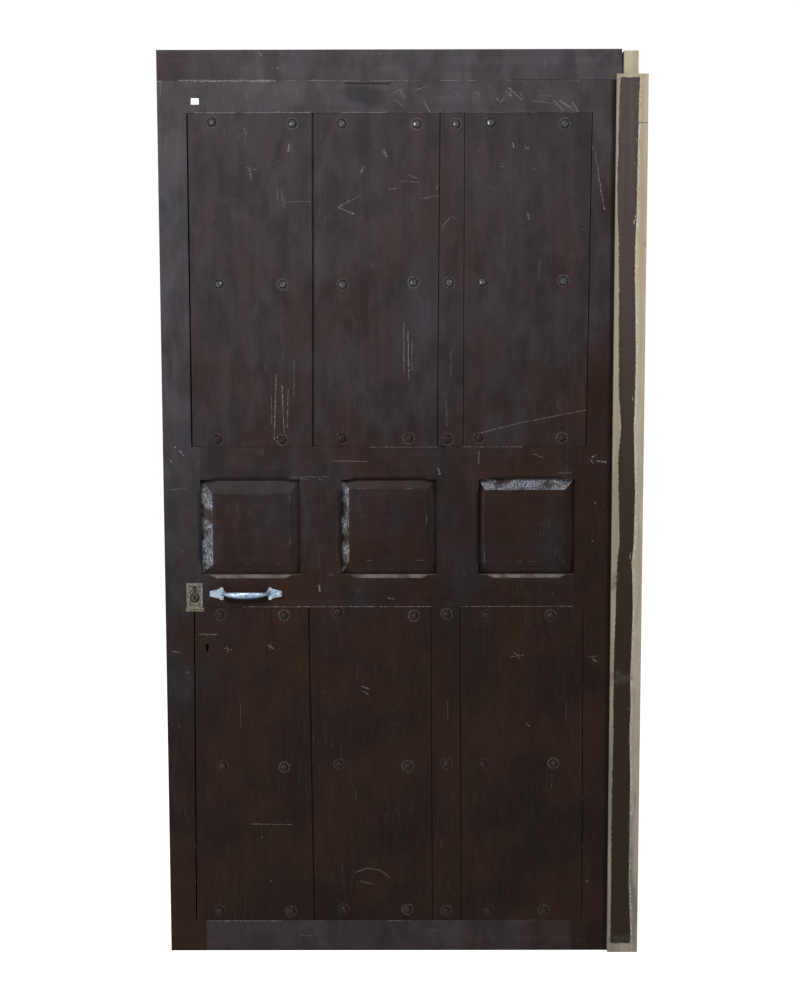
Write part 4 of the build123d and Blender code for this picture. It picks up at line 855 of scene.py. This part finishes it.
@dataclass(frozen=True)
class JambTimber:
    """Bare pale softwood whose front carries a band of old dark paint with ragged edges.

    The outline of the band is a list of heights with the width of bare wood to its left and to its right.
    """

    name: str = "jamb_timber"
    pale: Colour = (0.47, 0.405, 0.305)
    ring: Colour = (0.33, 0.255, 0.165)
    grey: Colour = (0.150, 0.138, 0.112)
    primer: Colour = (0.55, 0.57, 0.56)
    paint: Colour = (0.068, 0.050, 0.046)
    low_paint: Colour = (0.0155, 0.0095, 0.0058)
    dirt: Colour = (0.060, 0.052, 0.042)
    left_edge: float = 0.479
    right_edge: float = 0.549
    widest: float = 0.030
    head: float = 2.1
    foot_of_paint: float = 0.022
    head_of_paint: float = 2.016
    outline: tuple[tuple[float, float, float], ...] = (
        (0.049, 7.0, 16.0), (0.170, 7.0, 21.6), (0.291, 6.0, 21.0), (0.411, 7.0, 21.0), (0.530, 8.0, 24.0),
        (0.590, 7.0, 22.0), (0.650, 7.5, 24.0), (0.708, 7.5, 22.5), (0.825, 10.4, 20.0), (0.885, 11.0, 22.0),
        (0.925, 12.6, 24.0), (0.972, 17.0, 20.0), (1.087, 14.0, 18.5), (1.168, 12.0, 21.0),
        (1.239, 18.0, 23.0), (1.305, 12.0, 21.5), (1.380, 11.0, 20.5), (1.466, 9.7, 22.0),
        (1.573, 8.5, 25.0), (1.654, 7.0, 25.0),
        (1.720, 4.0, 23.0), (1.785, 2.7, 22.7), (1.870, 3.5, 22.0), (1.969, 5.3, 21.0), (2.018, 7.0, 19.0),
    )
    knots: tuple[Stroke, ...] = (
        Stroke((0.484, 0.868), (0.489, 0.898), 0.010, 0.85),
        Stroke((0.485, 0.650), (0.522, 0.656), 0.014, 0.7),
        Stroke((0.483, 0.664), (0.500, 0.668), 0.009, 0.6),
        Stroke((0.488, 0.030), (0.530, 0.036), 0.012, 0.75),
        Stroke((0.545, 1.648), (0.549, 1.652), 0.006, 0.8),
        Stroke((0.527, 0.300), (0.532, 0.330), 0.007, 0.45),
    )
    hairlines: tuple[Stroke, ...] = (
        Stroke((0.520, 1.917), (0.549, 1.916), 0.0014, 0.8),
        Stroke((0.479, 2.010), (0.500, 2.010), 0.0012, 0.5),
    )
    bump_strength: float = 0.45
    bump_depth: float = 0.0006

    def _outline(self, graph: Graph, height: bpy.types.NodeSocket) -> bpy.types.NodeOutputs:
        """Width of the bare wood at a height, as shares of the widest: red on the left, green on the right.

        Args:
            graph: the material's graph.
            height: z of the point.

        Returns:
            The channels.
        """
        ramp = graph.node("ValToRGB", {0: graph.math("DIVIDE", height, self.head)})
        elements = ramp.color_ramp.elements
        for index, (level, left, right) in enumerate(self.outline):
            element = elements[index] if index < len(elements) else elements.new(level / self.head)
            element.position = level / self.head
            element.color = (left / 1000.0 / self.widest, right / 1000.0 / self.widest, 0.0, 1.0)
        return graph.node("SeparateColor", {0: ramp.outputs[0]}).outputs

    def material(self, effects: Effects) -> bpy.types.Material:
        """Builds the material.

        Args:
            effects: the shared effects.

        Returns:
            The material.
        """
        material, graph, shader = new_material(self.name)
        place = graph.node("TexCoord").outputs["Object"]
        at = graph.node("SeparateXYZ", {0: place}).outputs
        grain = graph.group(effects.grain, Vector=place, Squeeze=Grain.UPRIGHT.value, Scale=1.3).outputs
        wood = graph.mix(graph.times(grain["Bands"], 0.7), self.pale, self.ring)
        wood = graph.mix(graph.times(grain["Pores"], 0.25), wood, self.ring)
        streaks = graph.noise(graph.vector("MULTIPLY", place, (1.0, 1.0, 0.12)), 42.0, 4.0, 0.6)
        low = graph.step(at["Z"], 0.2, 1.7, 1.0, 0.25)
        wood = graph.mix(graph.times(graph.step(streaks, 0.40, 0.60, 0.55, 1.0), low), wood, self.grey)
        shaded = graph.step(at["X"], self.left_edge + 0.010, self.left_edge + 0.024, 0.40, 0.0)
        wood = graph.mix(shaded, wood, self.grey)

        fringe = graph.noise(place, 150.0, 4.0, 0.65)
        drift = graph.times(graph.math("SUBTRACT", fringe, 0.5), 0.007)
        widths = self._outline(graph, at["Z"])
        from_left = graph.math("ADD", graph.math("SUBTRACT", at["X"], self.left_edge), drift)
        from_right = graph.math("ADD", graph.math("SUBTRACT", self.right_edge, at["X"]), drift)
        over_left = graph.math("SUBTRACT", from_left, graph.times(widths["Red"], self.widest))
        over_right = graph.math("SUBTRACT", from_right, graph.times(widths["Green"], self.widest))
        blur = (-0.0005, 0.0007)
        inside = graph.times(graph.step(over_left, *blur), graph.step(over_right, *blur))
        z = graph.math("ADD", at["Z"], drift)
        for edge, start in ((self.foot_of_paint, 0.0), (self.head_of_paint, 1.0)):
            inside = graph.times(inside, graph.step(z, edge - 0.001, edge + 0.001, start, 1.0 - start))
        on_front = graph.step(at["Y"], STOP_FRONT + 0.0004, STOP_FRONT + 0.002, 1.0, 0.0)
        inside = graph.times(inside, on_front)
        primed, sound = graph.step(over_right, -0.006, -0.001), graph.step(over_right, 0.0, 0.001, 1.0, 0.0)
        beside = graph.times(primed, sound)
        beside = graph.times(beside, graph.step(fringe, 0.46, 0.62))
        beside = graph.times(beside, on_front)
        wood = graph.mix(graph.times(beside, 0.6), wood, self.primer)
        squeezed = graph.vector("MULTIPLY", place, (1.0, 1.0, 0.3))
        flakes = graph.step(graph.noise(squeezed, 120.0, 3.0, 0.65), 0.66, 0.70)
        near_edge = graph.step(over_right, 0.002, 0.010, 1.0, 0.0)
        painted = graph.times(inside, graph.math("SUBTRACT", 1.0, graph.times(flakes, near_edge)))
        paint = graph.mix(graph.step(at["Z"], 0.7, 2.1), self.low_paint, self.paint)
        paint = graph.mix(graph.times(grain["Bands"], 0.35), paint, self.low_paint)
        colour = graph.mix(painted, wood, paint)
        point = graph.vector("MULTIPLY", graph.vector("ADD", place, graph.node(
            "CombineXYZ", {0: drift, 2: drift}).outputs[0]), (1.0, 0.0, 1.0))
        smudge = graph.times(drawn(graph, effects, point, self.knots), graph.step(fringe, 0.36, 0.60))
        colour = graph.mix(graph.times(smudge, 0.8), colour, self.dirt)
        line = graph.times(drawn(graph, effects, point, self.hairlines), on_front)
        colour = graph.mix(line, colour, self.dirt)
        graph.put(shader.inputs["Base Color"], colour)
        graph.put(shader.inputs["Roughness"], graph.math("MULTIPLY_ADD", painted, -0.25, 0.72))
        shader.inputs["Specular IOR Level"].default_value = 0.10
        add_bump(graph, shader, grain["Height"], self.bump_strength, self.bump_depth)
        return material


@dataclass(frozen=True)
class BareTimber:
    """Darkened softwood that was never painted, such as the ledges behind the boards."""

    name: str
    grain: Grain
    pale: Colour = (0.155, 0.092, 0.052)
    dark: Colour = (0.062, 0.034, 0.019)
    bump_strength: float = 0.5
    bump_depth: float = 0.0006

    def material(self, effects: Effects) -> bpy.types.Material:
        """Builds the material.

        Args:
            effects: the shared effects.

        Returns:
            The material.
        """
        material, graph, shader = new_material(self.name)
        place = graph.node("TexCoord").outputs["Object"]
        grain = graph.group(effects.grain, Vector=place, Squeeze=self.grain.value, Scale=1.0).outputs
        wood = graph.mix(graph.times(grain["Bands"], 0.8), self.pale, self.dark)
        wood = graph.mix(graph.times(grain["Pores"], 0.35), wood, self.dark)
        edges = graph.group(effects.wear, Vector=place, Radius=0.0025, Amount=0.5, Scale=60.0).outputs[0]
        graph.put(shader.inputs["Base Color"], graph.mix(graph.times(edges, 0.6), wood, self.pale))
        graph.put(shader.inputs["Roughness"], graph.math("MULTIPLY_ADD", grain["Bands"], 0.12, 0.62))
        shader.inputs["Specular IOR Level"].default_value = 0.3
        add_bump(graph, shader, grain["Height"], self.bump_strength, self.bump_depth)
        return material


@dataclass(frozen=True)
class Metal:
    """A worn metal: a clean colour, a tarnish in patches, brighter edges, small dents and scratches, and
    painted shade on the faces that look down where a share is given.
    """

    name: str
    clean: Colour
    tarnish: Colour
    bright: Colour
    metallic: float = 1.0
    roughness: float = 0.35
    tarnish_share: float = 0.5
    tarnish_scale: float = 90.0
    edge_radius: float = 0.0006
    edge_amount: float = 0.5
    dents: float = 0.0002
    dent_scale: float = 160.0
    specular: float = 0.5
    coat: float = 0.0
    coat_roughness: float = 0.12
    underside_painted_shade: Colour = (0.0, 0.0, 0.0)
    underside_painted_shade_share: float = 0.0
    bump_strength: float = 0.6

    def material(self, effects: Effects) -> bpy.types.Material:
        """Builds the material.

        Args:
            effects: the shared effects.

        Returns:
            The material.
        """
        material, graph, shader = new_material(self.name)
        place = graph.node("TexCoord").outputs["Object"]
        patches = graph.noise(place, self.tarnish_scale, 5.0, 0.62)
        stained = graph.step(patches, 0.62 - 0.3 * self.tarnish_share, 0.78 - 0.3 * self.tarnish_share)
        edges = graph.group(
            effects.wear, Vector=place, Radius=self.edge_radius, Amount=self.edge_amount, Scale=150.0
        ).outputs[0]
        finer = graph.vector("MULTIPLY", place, (5.0, 5.0, 5.0))
        scuffs = graph.group(effects.scuffs, Vector=finer, Amount=0.5)
        colour = graph.mix(stained, self.clean, self.tarnish)
        shown = graph.math("MAXIMUM", edges, graph.times(scuffs.outputs[0], 0.6))
        colour = graph.mix(shown, colour, self.bright)
        # Painted shade: faces that look down are darkened toward the underside colour.
        if self.underside_painted_shade_share:
            up = graph.node("SeparateXYZ", {0: graph.node("TexCoord").outputs["Normal"]}).outputs["Z"]
            colour = graph.mix(graph.step(up, -0.55, 0.15, self.underside_painted_shade_share, 0.0), colour, self.underside_painted_shade)
        graph.put(shader.inputs["Base Color"], colour)
        rough = graph.math("MULTIPLY_ADD", stained, 0.18, self.roughness)
        graph.put(shader.inputs["Roughness"], graph.math("MULTIPLY_ADD", shown, -0.08, rough))
        shader.inputs["Metallic"].default_value = self.metallic
        shader.inputs["Specular IOR Level"].default_value = self.specular
        shader.inputs["Coat Weight"].default_value = self.coat
        shader.inputs["Coat Roughness"].default_value = self.coat_roughness
        height = graph.noise(place, self.dent_scale, 3.0, 0.4)
        add_bump(graph, shader, height, self.bump_strength, self.dents)
        return material


@dataclass(frozen=True)
class Paper:
    """Slightly soiled white paper."""

    name: str = "label_paper"
    white: Colour = (0.78, 0.80, 0.84)
    soiled: Colour = (0.55, 0.56, 0.58)
    bump_strength: float = 0.2
    bump_depth: float = 0.0001

    def material(self, effects: Effects) -> bpy.types.Material:
        """Builds the material.

        Args:
            effects: the shared effects.

        Returns:
            The material.
        """
        material, graph, shader = new_material(self.name)
        place = graph.node("TexCoord").outputs["Object"]
        soiled = graph.step(graph.noise(place, 240.0, 4.0, 0.6), 0.5, 0.72, 0.0, 0.7)
        graph.put(shader.inputs["Base Color"], graph.mix(soiled, self.white, self.soiled))
        graph.put(shader.inputs["Roughness"], graph.math("MULTIPLY_ADD", soiled, 0.2, 0.55))
        fibres = graph.noise(place, 1800.0, 2.0)
        add_bump(graph, shader, fibres, self.bump_strength, self.bump_depth)
        return material


def dress(names: Iterable[str], material: bpy.types.Material) -> None:
    """Gives solids of the frame a finish.

    Args:
        names: their node names.
        material: the finish.
    """
    for name in names:
        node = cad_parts[name]
        if not node.material_slots:
            node.data.materials.append(material)
        for holder in node.material_slots:
            holder.material = material
        log.info("%s: %s", name, material.name)


def surface(name: str, points: np.ndarray, body: str, material: bpy.types.Material) -> bpy.types.Object:
    """Makes one piece from a grid of points.

    Args:
        name: the piece's name.
        points: array of rows by columns by 3.
        body: the body that it rides on.
        material: its finish.

    Returns:
        The piece, with its place in its mesh.
    """
    rows, columns = points.shape[:2]
    index = np.arange(rows * columns).reshape(rows, columns)
    faces = np.stack([index[:-1, :-1], index[:-1, 1:], index[1:, 1:], index[1:, :-1]], -1).reshape(-1, 4)
    mesh = bpy.data.meshes.new(name)
    mesh.from_pydata(points.reshape(-1, 3), [], faces)
    mesh.polygons.foreach_set("use_smooth", np.ones(len(faces), bool))
    mesh.materials.append(material)
    piece = bpy.data.objects.new(name, mesh)
    bpy.context.scene.collection.objects.link(piece)
    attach(piece, body)
    log.info("%s: new piece on %s", name, body)
    return piece


def stud_halos(node: str, rows: Iterable[str], radius: float = 0.0165, row_gap: float = 0.02,
               faintest: float = 0.22, uneven: float = 0.10) -> tuple[Stroke, ...]:
    """Pale rings of rubbed paint round the studs that sit on one piece of timber.

    Args:
        node: the piece's node name.
        rows: node names of the rows of studs.
        radius: how far a ring reaches from its stud's centre.
        row_gap: least distance between two studs of a row.
        faintest: strength of the weakest ring.
        uneven: step between the five strengths.

    Returns:
        One round mark for each stud on the piece, of uneven strength.
    """
    timber = np.array([corner[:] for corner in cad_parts[node].bound_box])
    (left, _, low), (right, _, high) = timber.min(0), timber.max(0)
    halos = []
    for row in rows:
        points = np.array([vertex.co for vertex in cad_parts[row].data.vertices])
        heads = points[points[:, 1] < LEAF_FRONT]
        heads = heads[np.argsort(heads[:, 0])]
        for number, head in enumerate(np.split(heads, np.flatnonzero(np.diff(heads[:, 0]) > row_gap) + 1)):
            x, _, z = (head.min(0) + head.max(0)) / 2.0
            if left < x < right and low < z < high:
                halos.append(spot((float(x), float(z)), radius, faintest + uneven * (number * 3 % 5)))
    return tuple(halos)


@dataclass
class Leaf:
    """The leaf's timber: stiles, rails, boards, panels, ledges."""

    effects: Effects
    camera: Camera
    stud_rows: tuple[str, ...] = (
        "top_studs", "upper_ledge_studs", "upper_rail_studs", "lower_rail_studs", "lower_ledge_studs",
        "bottom_studs",
    )
    uprights: tuple[str, ...] = ("left_upright", "right_upright")
    boards: tuple[str, ...] = ("left", "middle", "narrow", "right")
    speckled_panels: tuple[str, ...] = ("left_panel", "middle_panel")

    def _paint(self, nodes: Iterable[str], grain: Grain, **values: object) -> None:
        """Paints solids that share one finish.

        Args:
            nodes: their node names; the first names the finish and its marks.
            grain: how their grain runs.
            values: fields of the finish that differ.
        """
        nodes = list(nodes)
        first = nodes[0]
        marks = self.camera.strokes(PICKED_MARKS.get(first, ()))
        if first == "lock_stile":
            marks += corner_scratch()
        if first.endswith("_board"):
            marks += stud_halos(first, self.stud_rows)
        # Cracks, with the strokes of painted shade and shadow.
        cracks_and_painted_shade = self.camera.strokes(PICKED_CRACKS.get(first, ())) + SMUDGES_AND_PAINTED_SHADE.get(first, ())
        finish = PaintedTimber(first + "_paint", grain, marks, cracks_and_painted_shade, **values)
        dress(nodes, finish.material(self.effects))

    def dress(self) -> None:
        """Gives each piece of timber its finish."""
        upright, level = Grain.UPRIGHT, Grain.LEVEL
        self._paint(["lock_stile"], upright, painted_sheen_high=2.1, painted_sheen_share=0.85)
        self._paint(["hinge_stile"], upright, painted_sheen_low=0.8, painted_sheen_high=2.1, painted_sheen_share=0.75)
        self._paint(self.uprights, upright)
        self._paint(["top_board"], level, edge_amount=0.5, painted_sheen_low=0.6, painted_sheen_high=2.7, painted_sheen_share=1.0,
                    painted_sheen_lean=0.9, painted_sheen_blue_share=0.35)
        self._paint(["top_rail"], level, scuff_amount=0.7, edge_amount=0.5, painted_sheen_low=0.6, painted_sheen_high=2.6,
                    painted_sheen_share=1.0, painted_sheen_lean=0.4, painted_sheen_blue_share=0.35)
        self._paint(["upper_middle_rail"], level)
        self._paint(["lower_middle_rail"], level, dust_and_highlight_amount=1.0)
        self._paint(["bottom_rail"], level, painted_sheen_low=-1.6, painted_sheen_high=2.0, painted_sheen_share=0.75)
        for board in self.boards:
            self._paint([f"upper_{board}_board"], upright, edge_amount=0.34)
            self._paint([f"lower_{board}_board"], upright, edge_amount=0.34)
        self._paint(self.speckled_panels, level, speckled_left=0.8, edge_amount=0.46)
        self._paint(["right_panel"], level, speckled_top=0.8, edge_amount=0.46)
        dress(["upper_ledge", "lower_ledge"], BareTimber("ledge_timber", level).material(self.effects))
        block = BareTimber("block_timber", upright).material(self.effects)
        dress(["lock_block", "top_board_dowels"], block)


@dataclass
class Ironwork:
    """Everything of metal: studs, hinges, handle and locks."""

    effects: Effects
    bright_rows: tuple[str, ...] = ("top", "upper_ledge")
    dull_rows: tuple[str, ...] = ("upper_rail", "lower_rail", "lower_ledge", "bottom")
    hinge_places: tuple[str, ...] = ("bottom", "middle", "top")

    def dress(self) -> None:
        """Gives each piece of metal its finish."""
        # The pale edge colour of these studs paints glints on their facets, as well as worn edges.
        bright = Metal(
            "rubbed_iron_with_painted_glints", (0.009, 0.007, 0.008), (0.022, 0.018, 0.018), (0.50, 0.49, 0.50), metallic=0.0,
            roughness=0.25, tarnish_share=0.4, dents=0.0005, dent_scale=200.0, edge_radius=0.0016,
            edge_amount=0.42, specular=0.5, coat=0.2, coat_roughness=0.05,
        )
        dull = Metal(
            "painted_iron", (0.011, 0.006, 0.0045), (0.024, 0.013, 0.009), (0.060, 0.044, 0.036),
            metallic=0.0, roughness=0.40, tarnish_share=0.5, dents=0.0005, dent_scale=200.0,
            edge_amount=0.3, specular=0.12,
        )
        zinc = Metal(
            "hinge_steel", (0.42, 0.43, 0.45), (0.20, 0.19, 0.18), (0.62, 0.63, 0.65), roughness=0.38
        )
        brass = Metal("washer_brass", (0.60, 0.44, 0.19), (0.30, 0.21, 0.10), (0.75, 0.6, 0.3))
        screws = Metal(
            "screw_steel", (0.48, 0.48, 0.49), (0.20, 0.19, 0.18), (0.66, 0.66, 0.67), roughness=0.33
        )
        # The handle's downward faces carry a bluish painted shade.
        handle = Metal(
            "handle_zinc", (0.31, 0.39, 0.49), (0.12, 0.16, 0.23), (0.66, 0.72, 0.79), metallic=0.75,
            roughness=0.32, tarnish_share=0.5, tarnish_scale=110.0, dents=0.0003,
            underside_painted_shade=(0.030, 0.050, 0.090), underside_painted_shade_share=0.95,
        )
        plate = Metal(
            "plate_brass", (0.105, 0.104, 0.076), (0.040, 0.041, 0.031), (0.40, 0.39, 0.31), metallic=0.85,
            roughness=0.42, tarnish_share=0.6, tarnish_scale=170.0, edge_radius=0.0012, edge_amount=0.7,
        )
        barrel = Metal(
            "cylinder_brass", (0.050, 0.045, 0.035), (0.018, 0.017, 0.013), (0.22, 0.20, 0.16),
            roughness=0.36,
        )
        enamel = Metal(
            "case_paint", (0.050, 0.036, 0.027), (0.075, 0.052, 0.038), (0.22, 0.20, 0.18), metallic=0.0,
            roughness=0.35, tarnish_share=0.3, dents=0.0003,
        )
        bolt = Metal("bolt_steel", (0.5, 0.5, 0.5), (0.25, 0.23, 0.21), (0.7, 0.7, 0.7))
        rust = Metal(
            "old_iron", (0.075, 0.062, 0.055), (0.085, 0.040, 0.020), (0.20, 0.18, 0.165), metallic=0.7,
            roughness=0.5, tarnish_share=0.8, dents=0.0006, dent_scale=110.0,
        )
        halves = [f"{place}_hinge_{side}_half" for place in self.hinge_places for side in ("leaf", "jamb")]
        for nodes, finish in (
            ([f"{row}_studs" for row in self.bright_rows], bright),
            ([f"{row}_studs" for row in self.dull_rows], dull),
            ([*halves, "hinge_pins"], zinc),
            (["hinge_washers"], brass),
            (["hinge_screws_leaf", "hinge_screws_jamb", "handle_screws", "plate_bolts",
              "cylinder_fixing_screw", "rim_lock_screws"], screws),
            (["pull_handle"], handle),
            (["cylinder_plate"], plate),
            (["lock_cylinder", "outer_plug", "inner_plug", "cylinder_cam"], barrel),
            (["rim_lock_case", "rim_lock_base"], enamel),
            (["rim_lock_bolt"], bolt),
            (["old_lock_case", "old_lock_base", "old_lock_bolt", "old_lock_key_post", "old_lock_nails"],
             rust),
        ):
            dress(nodes, finish.material(self.effects))


@dataclass
class Label:
    """The small blank paper label stuck near the top of the lock side."""

    effects: Effects
    centre: Place = (-0.4640, 1.9670)
    width: float = 0.018
    height: float = 0.014
    lift: float = 0.0003
    curl: float = 0.0009
    paper: float = 0.00012
    columns: int = 13
    rows: int = 11

    def build(self) -> bpy.types.Object:
        """Makes the label: a grid over its width (u) and height (v), just off the paint, with one corner up.

        Its lift is the base height plus the curl times u squared times v cubed, so that only the upper right
        corner rises.

        Returns:
            The label.
        """
        u, v = np.meshgrid(np.linspace(0.0, 1.0, self.columns), np.linspace(0.0, 1.0, self.rows))
        x = self.centre[0] + (u - 0.5) * self.width
        z = self.centre[1] + (v - 0.5) * self.height
        y = LEAF_FRONT - self.lift - self.curl * u**2 * v**3
        piece = surface("blank_label", np.stack([x, y, z], -1), "leaf", Paper().material(self.effects))
        thicken = piece.modifiers.new("thickness", "SOLIDIFY")
        thicken.thickness = self.paper
        thicken.offset = 0.0
        return piece


@dataclass
class Studio:
    """Plain pale floor, white surroundings, soft lamps, and the camera at the height of the eyes."""

    camera: Camera
    floor_half: float = 30.0
    floor_colour: Colour = (0.80, 0.80, 0.80)
    ambient: float = 0.26
    floor_glow: float = 0.82
    lamps_aim: tuple[float, float, float] = (0.0, 0.0, 1.05)

    def light_world(self) -> None:
        """White where the camera, a gloss or a glass looks, and a softer level for the light it gives."""
        world = bpy.data.worlds.new("studio_world")
        world.use_nodes = True
        graph = Graph(world.node_tree)
        strength = graph.math("MULTIPLY_ADD", looked_at(graph), 1.0 - self.ambient, self.ambient)
        back = graph.node("Background", {"Color": (1.0, 1.0, 1.0), "Strength": strength})
        graph.node("OutputWorld", {"Surface": back.outputs[0]})
        bpy.context.scene.world = world

    def lay_floor(self) -> None:
        """A flat pale floor that reads as white and keeps the door's shadow."""
        half = self.floor_half
        mesh = bpy.data.meshes.new("floor")
        corners = [(-half, -half, 0.0), (half, -half, 0.0), (half, half, 0.0), (-half, half, 0.0)]
        mesh.from_pydata(corners, [], [(0, 1, 2, 3)])
        floor = bpy.data.objects.new("floor", mesh)
        bpy.context.scene.collection.objects.link(floor)
        material = bpy.data.materials.new("floor")
        material.use_nodes = True
        graph = Graph(material.node_tree)
        matt = graph.node("BsdfDiffuse", {"Color": self.floor_colour})
        strength = graph.times(looked_at(graph), self.floor_glow)
        glow = graph.node("Emission", {"Color": (1.0, 1.0, 1.0), "Strength": strength})
        both = graph.node("AddShader", {0: matt.outputs[0], 1: glow.outputs[0]})
        graph.node("OutputMaterial", {"Surface": both.outputs[0]})
        mesh.materials.append(material)

    def hang_lamps(self) -> None:
        """Area lamps that look at the middle of the door."""
        aim = np.array(self.lamps_aim)
        for lamp in Lamp:
            place, (width, height), power, colour = lamp.value
            data = bpy.data.lights.new(lamp.name.lower() + "_lamp", "AREA")
            data.shape, data.size, data.size_y = "RECTANGLE", width, height
            data.energy, data.color = power, colour
            holder = bpy.data.objects.new(data.name, data)
            x, y, z = aim - np.array(place)
            flat = math.hypot(x, y)
            holder.location = place
            holder.rotation_euler = (math.atan2(flat, -z), 0.0, math.atan2(-x, y))
            holder.visible_camera = False
            bpy.context.scene.collection.objects.link(holder)

    def set_camera(self) -> None:
        """The camera stands in front of the door and looks slightly down."""
        data = bpy.data.cameras.new("camera")
        data.lens, data.sensor_width = self.camera.lens, self.camera.sensor
        camera = bpy.data.objects.new("camera", data)
        camera.location = self.camera.place
        camera.rotation_euler = self.camera.angles()
        bpy.context.scene.collection.objects.link(camera)
        bpy.context.scene.camera = camera

    def build(self) -> None:
        """Sets up everything round the door."""
        self.set_camera()
        self.light_world()
        self.lay_floor()
        self.hang_lamps()
        bpy.context.scene.view_settings.view_transform = "Standard"


def main() -> None:
    """Dresses the door, adds its label and sets up the studio."""
    logging.basicConfig(level=logging.INFO, format="%(name)s %(message)s")
    effects, camera = Effects(), Camera()
    Studio(camera).build()
    Leaf(effects, camera).dress()
    Ironwork(effects).dress()
    dress(["jamb"], JambTimber().material(effects))
    Label(effects).build()


if __name__ == "__main__":
    main()
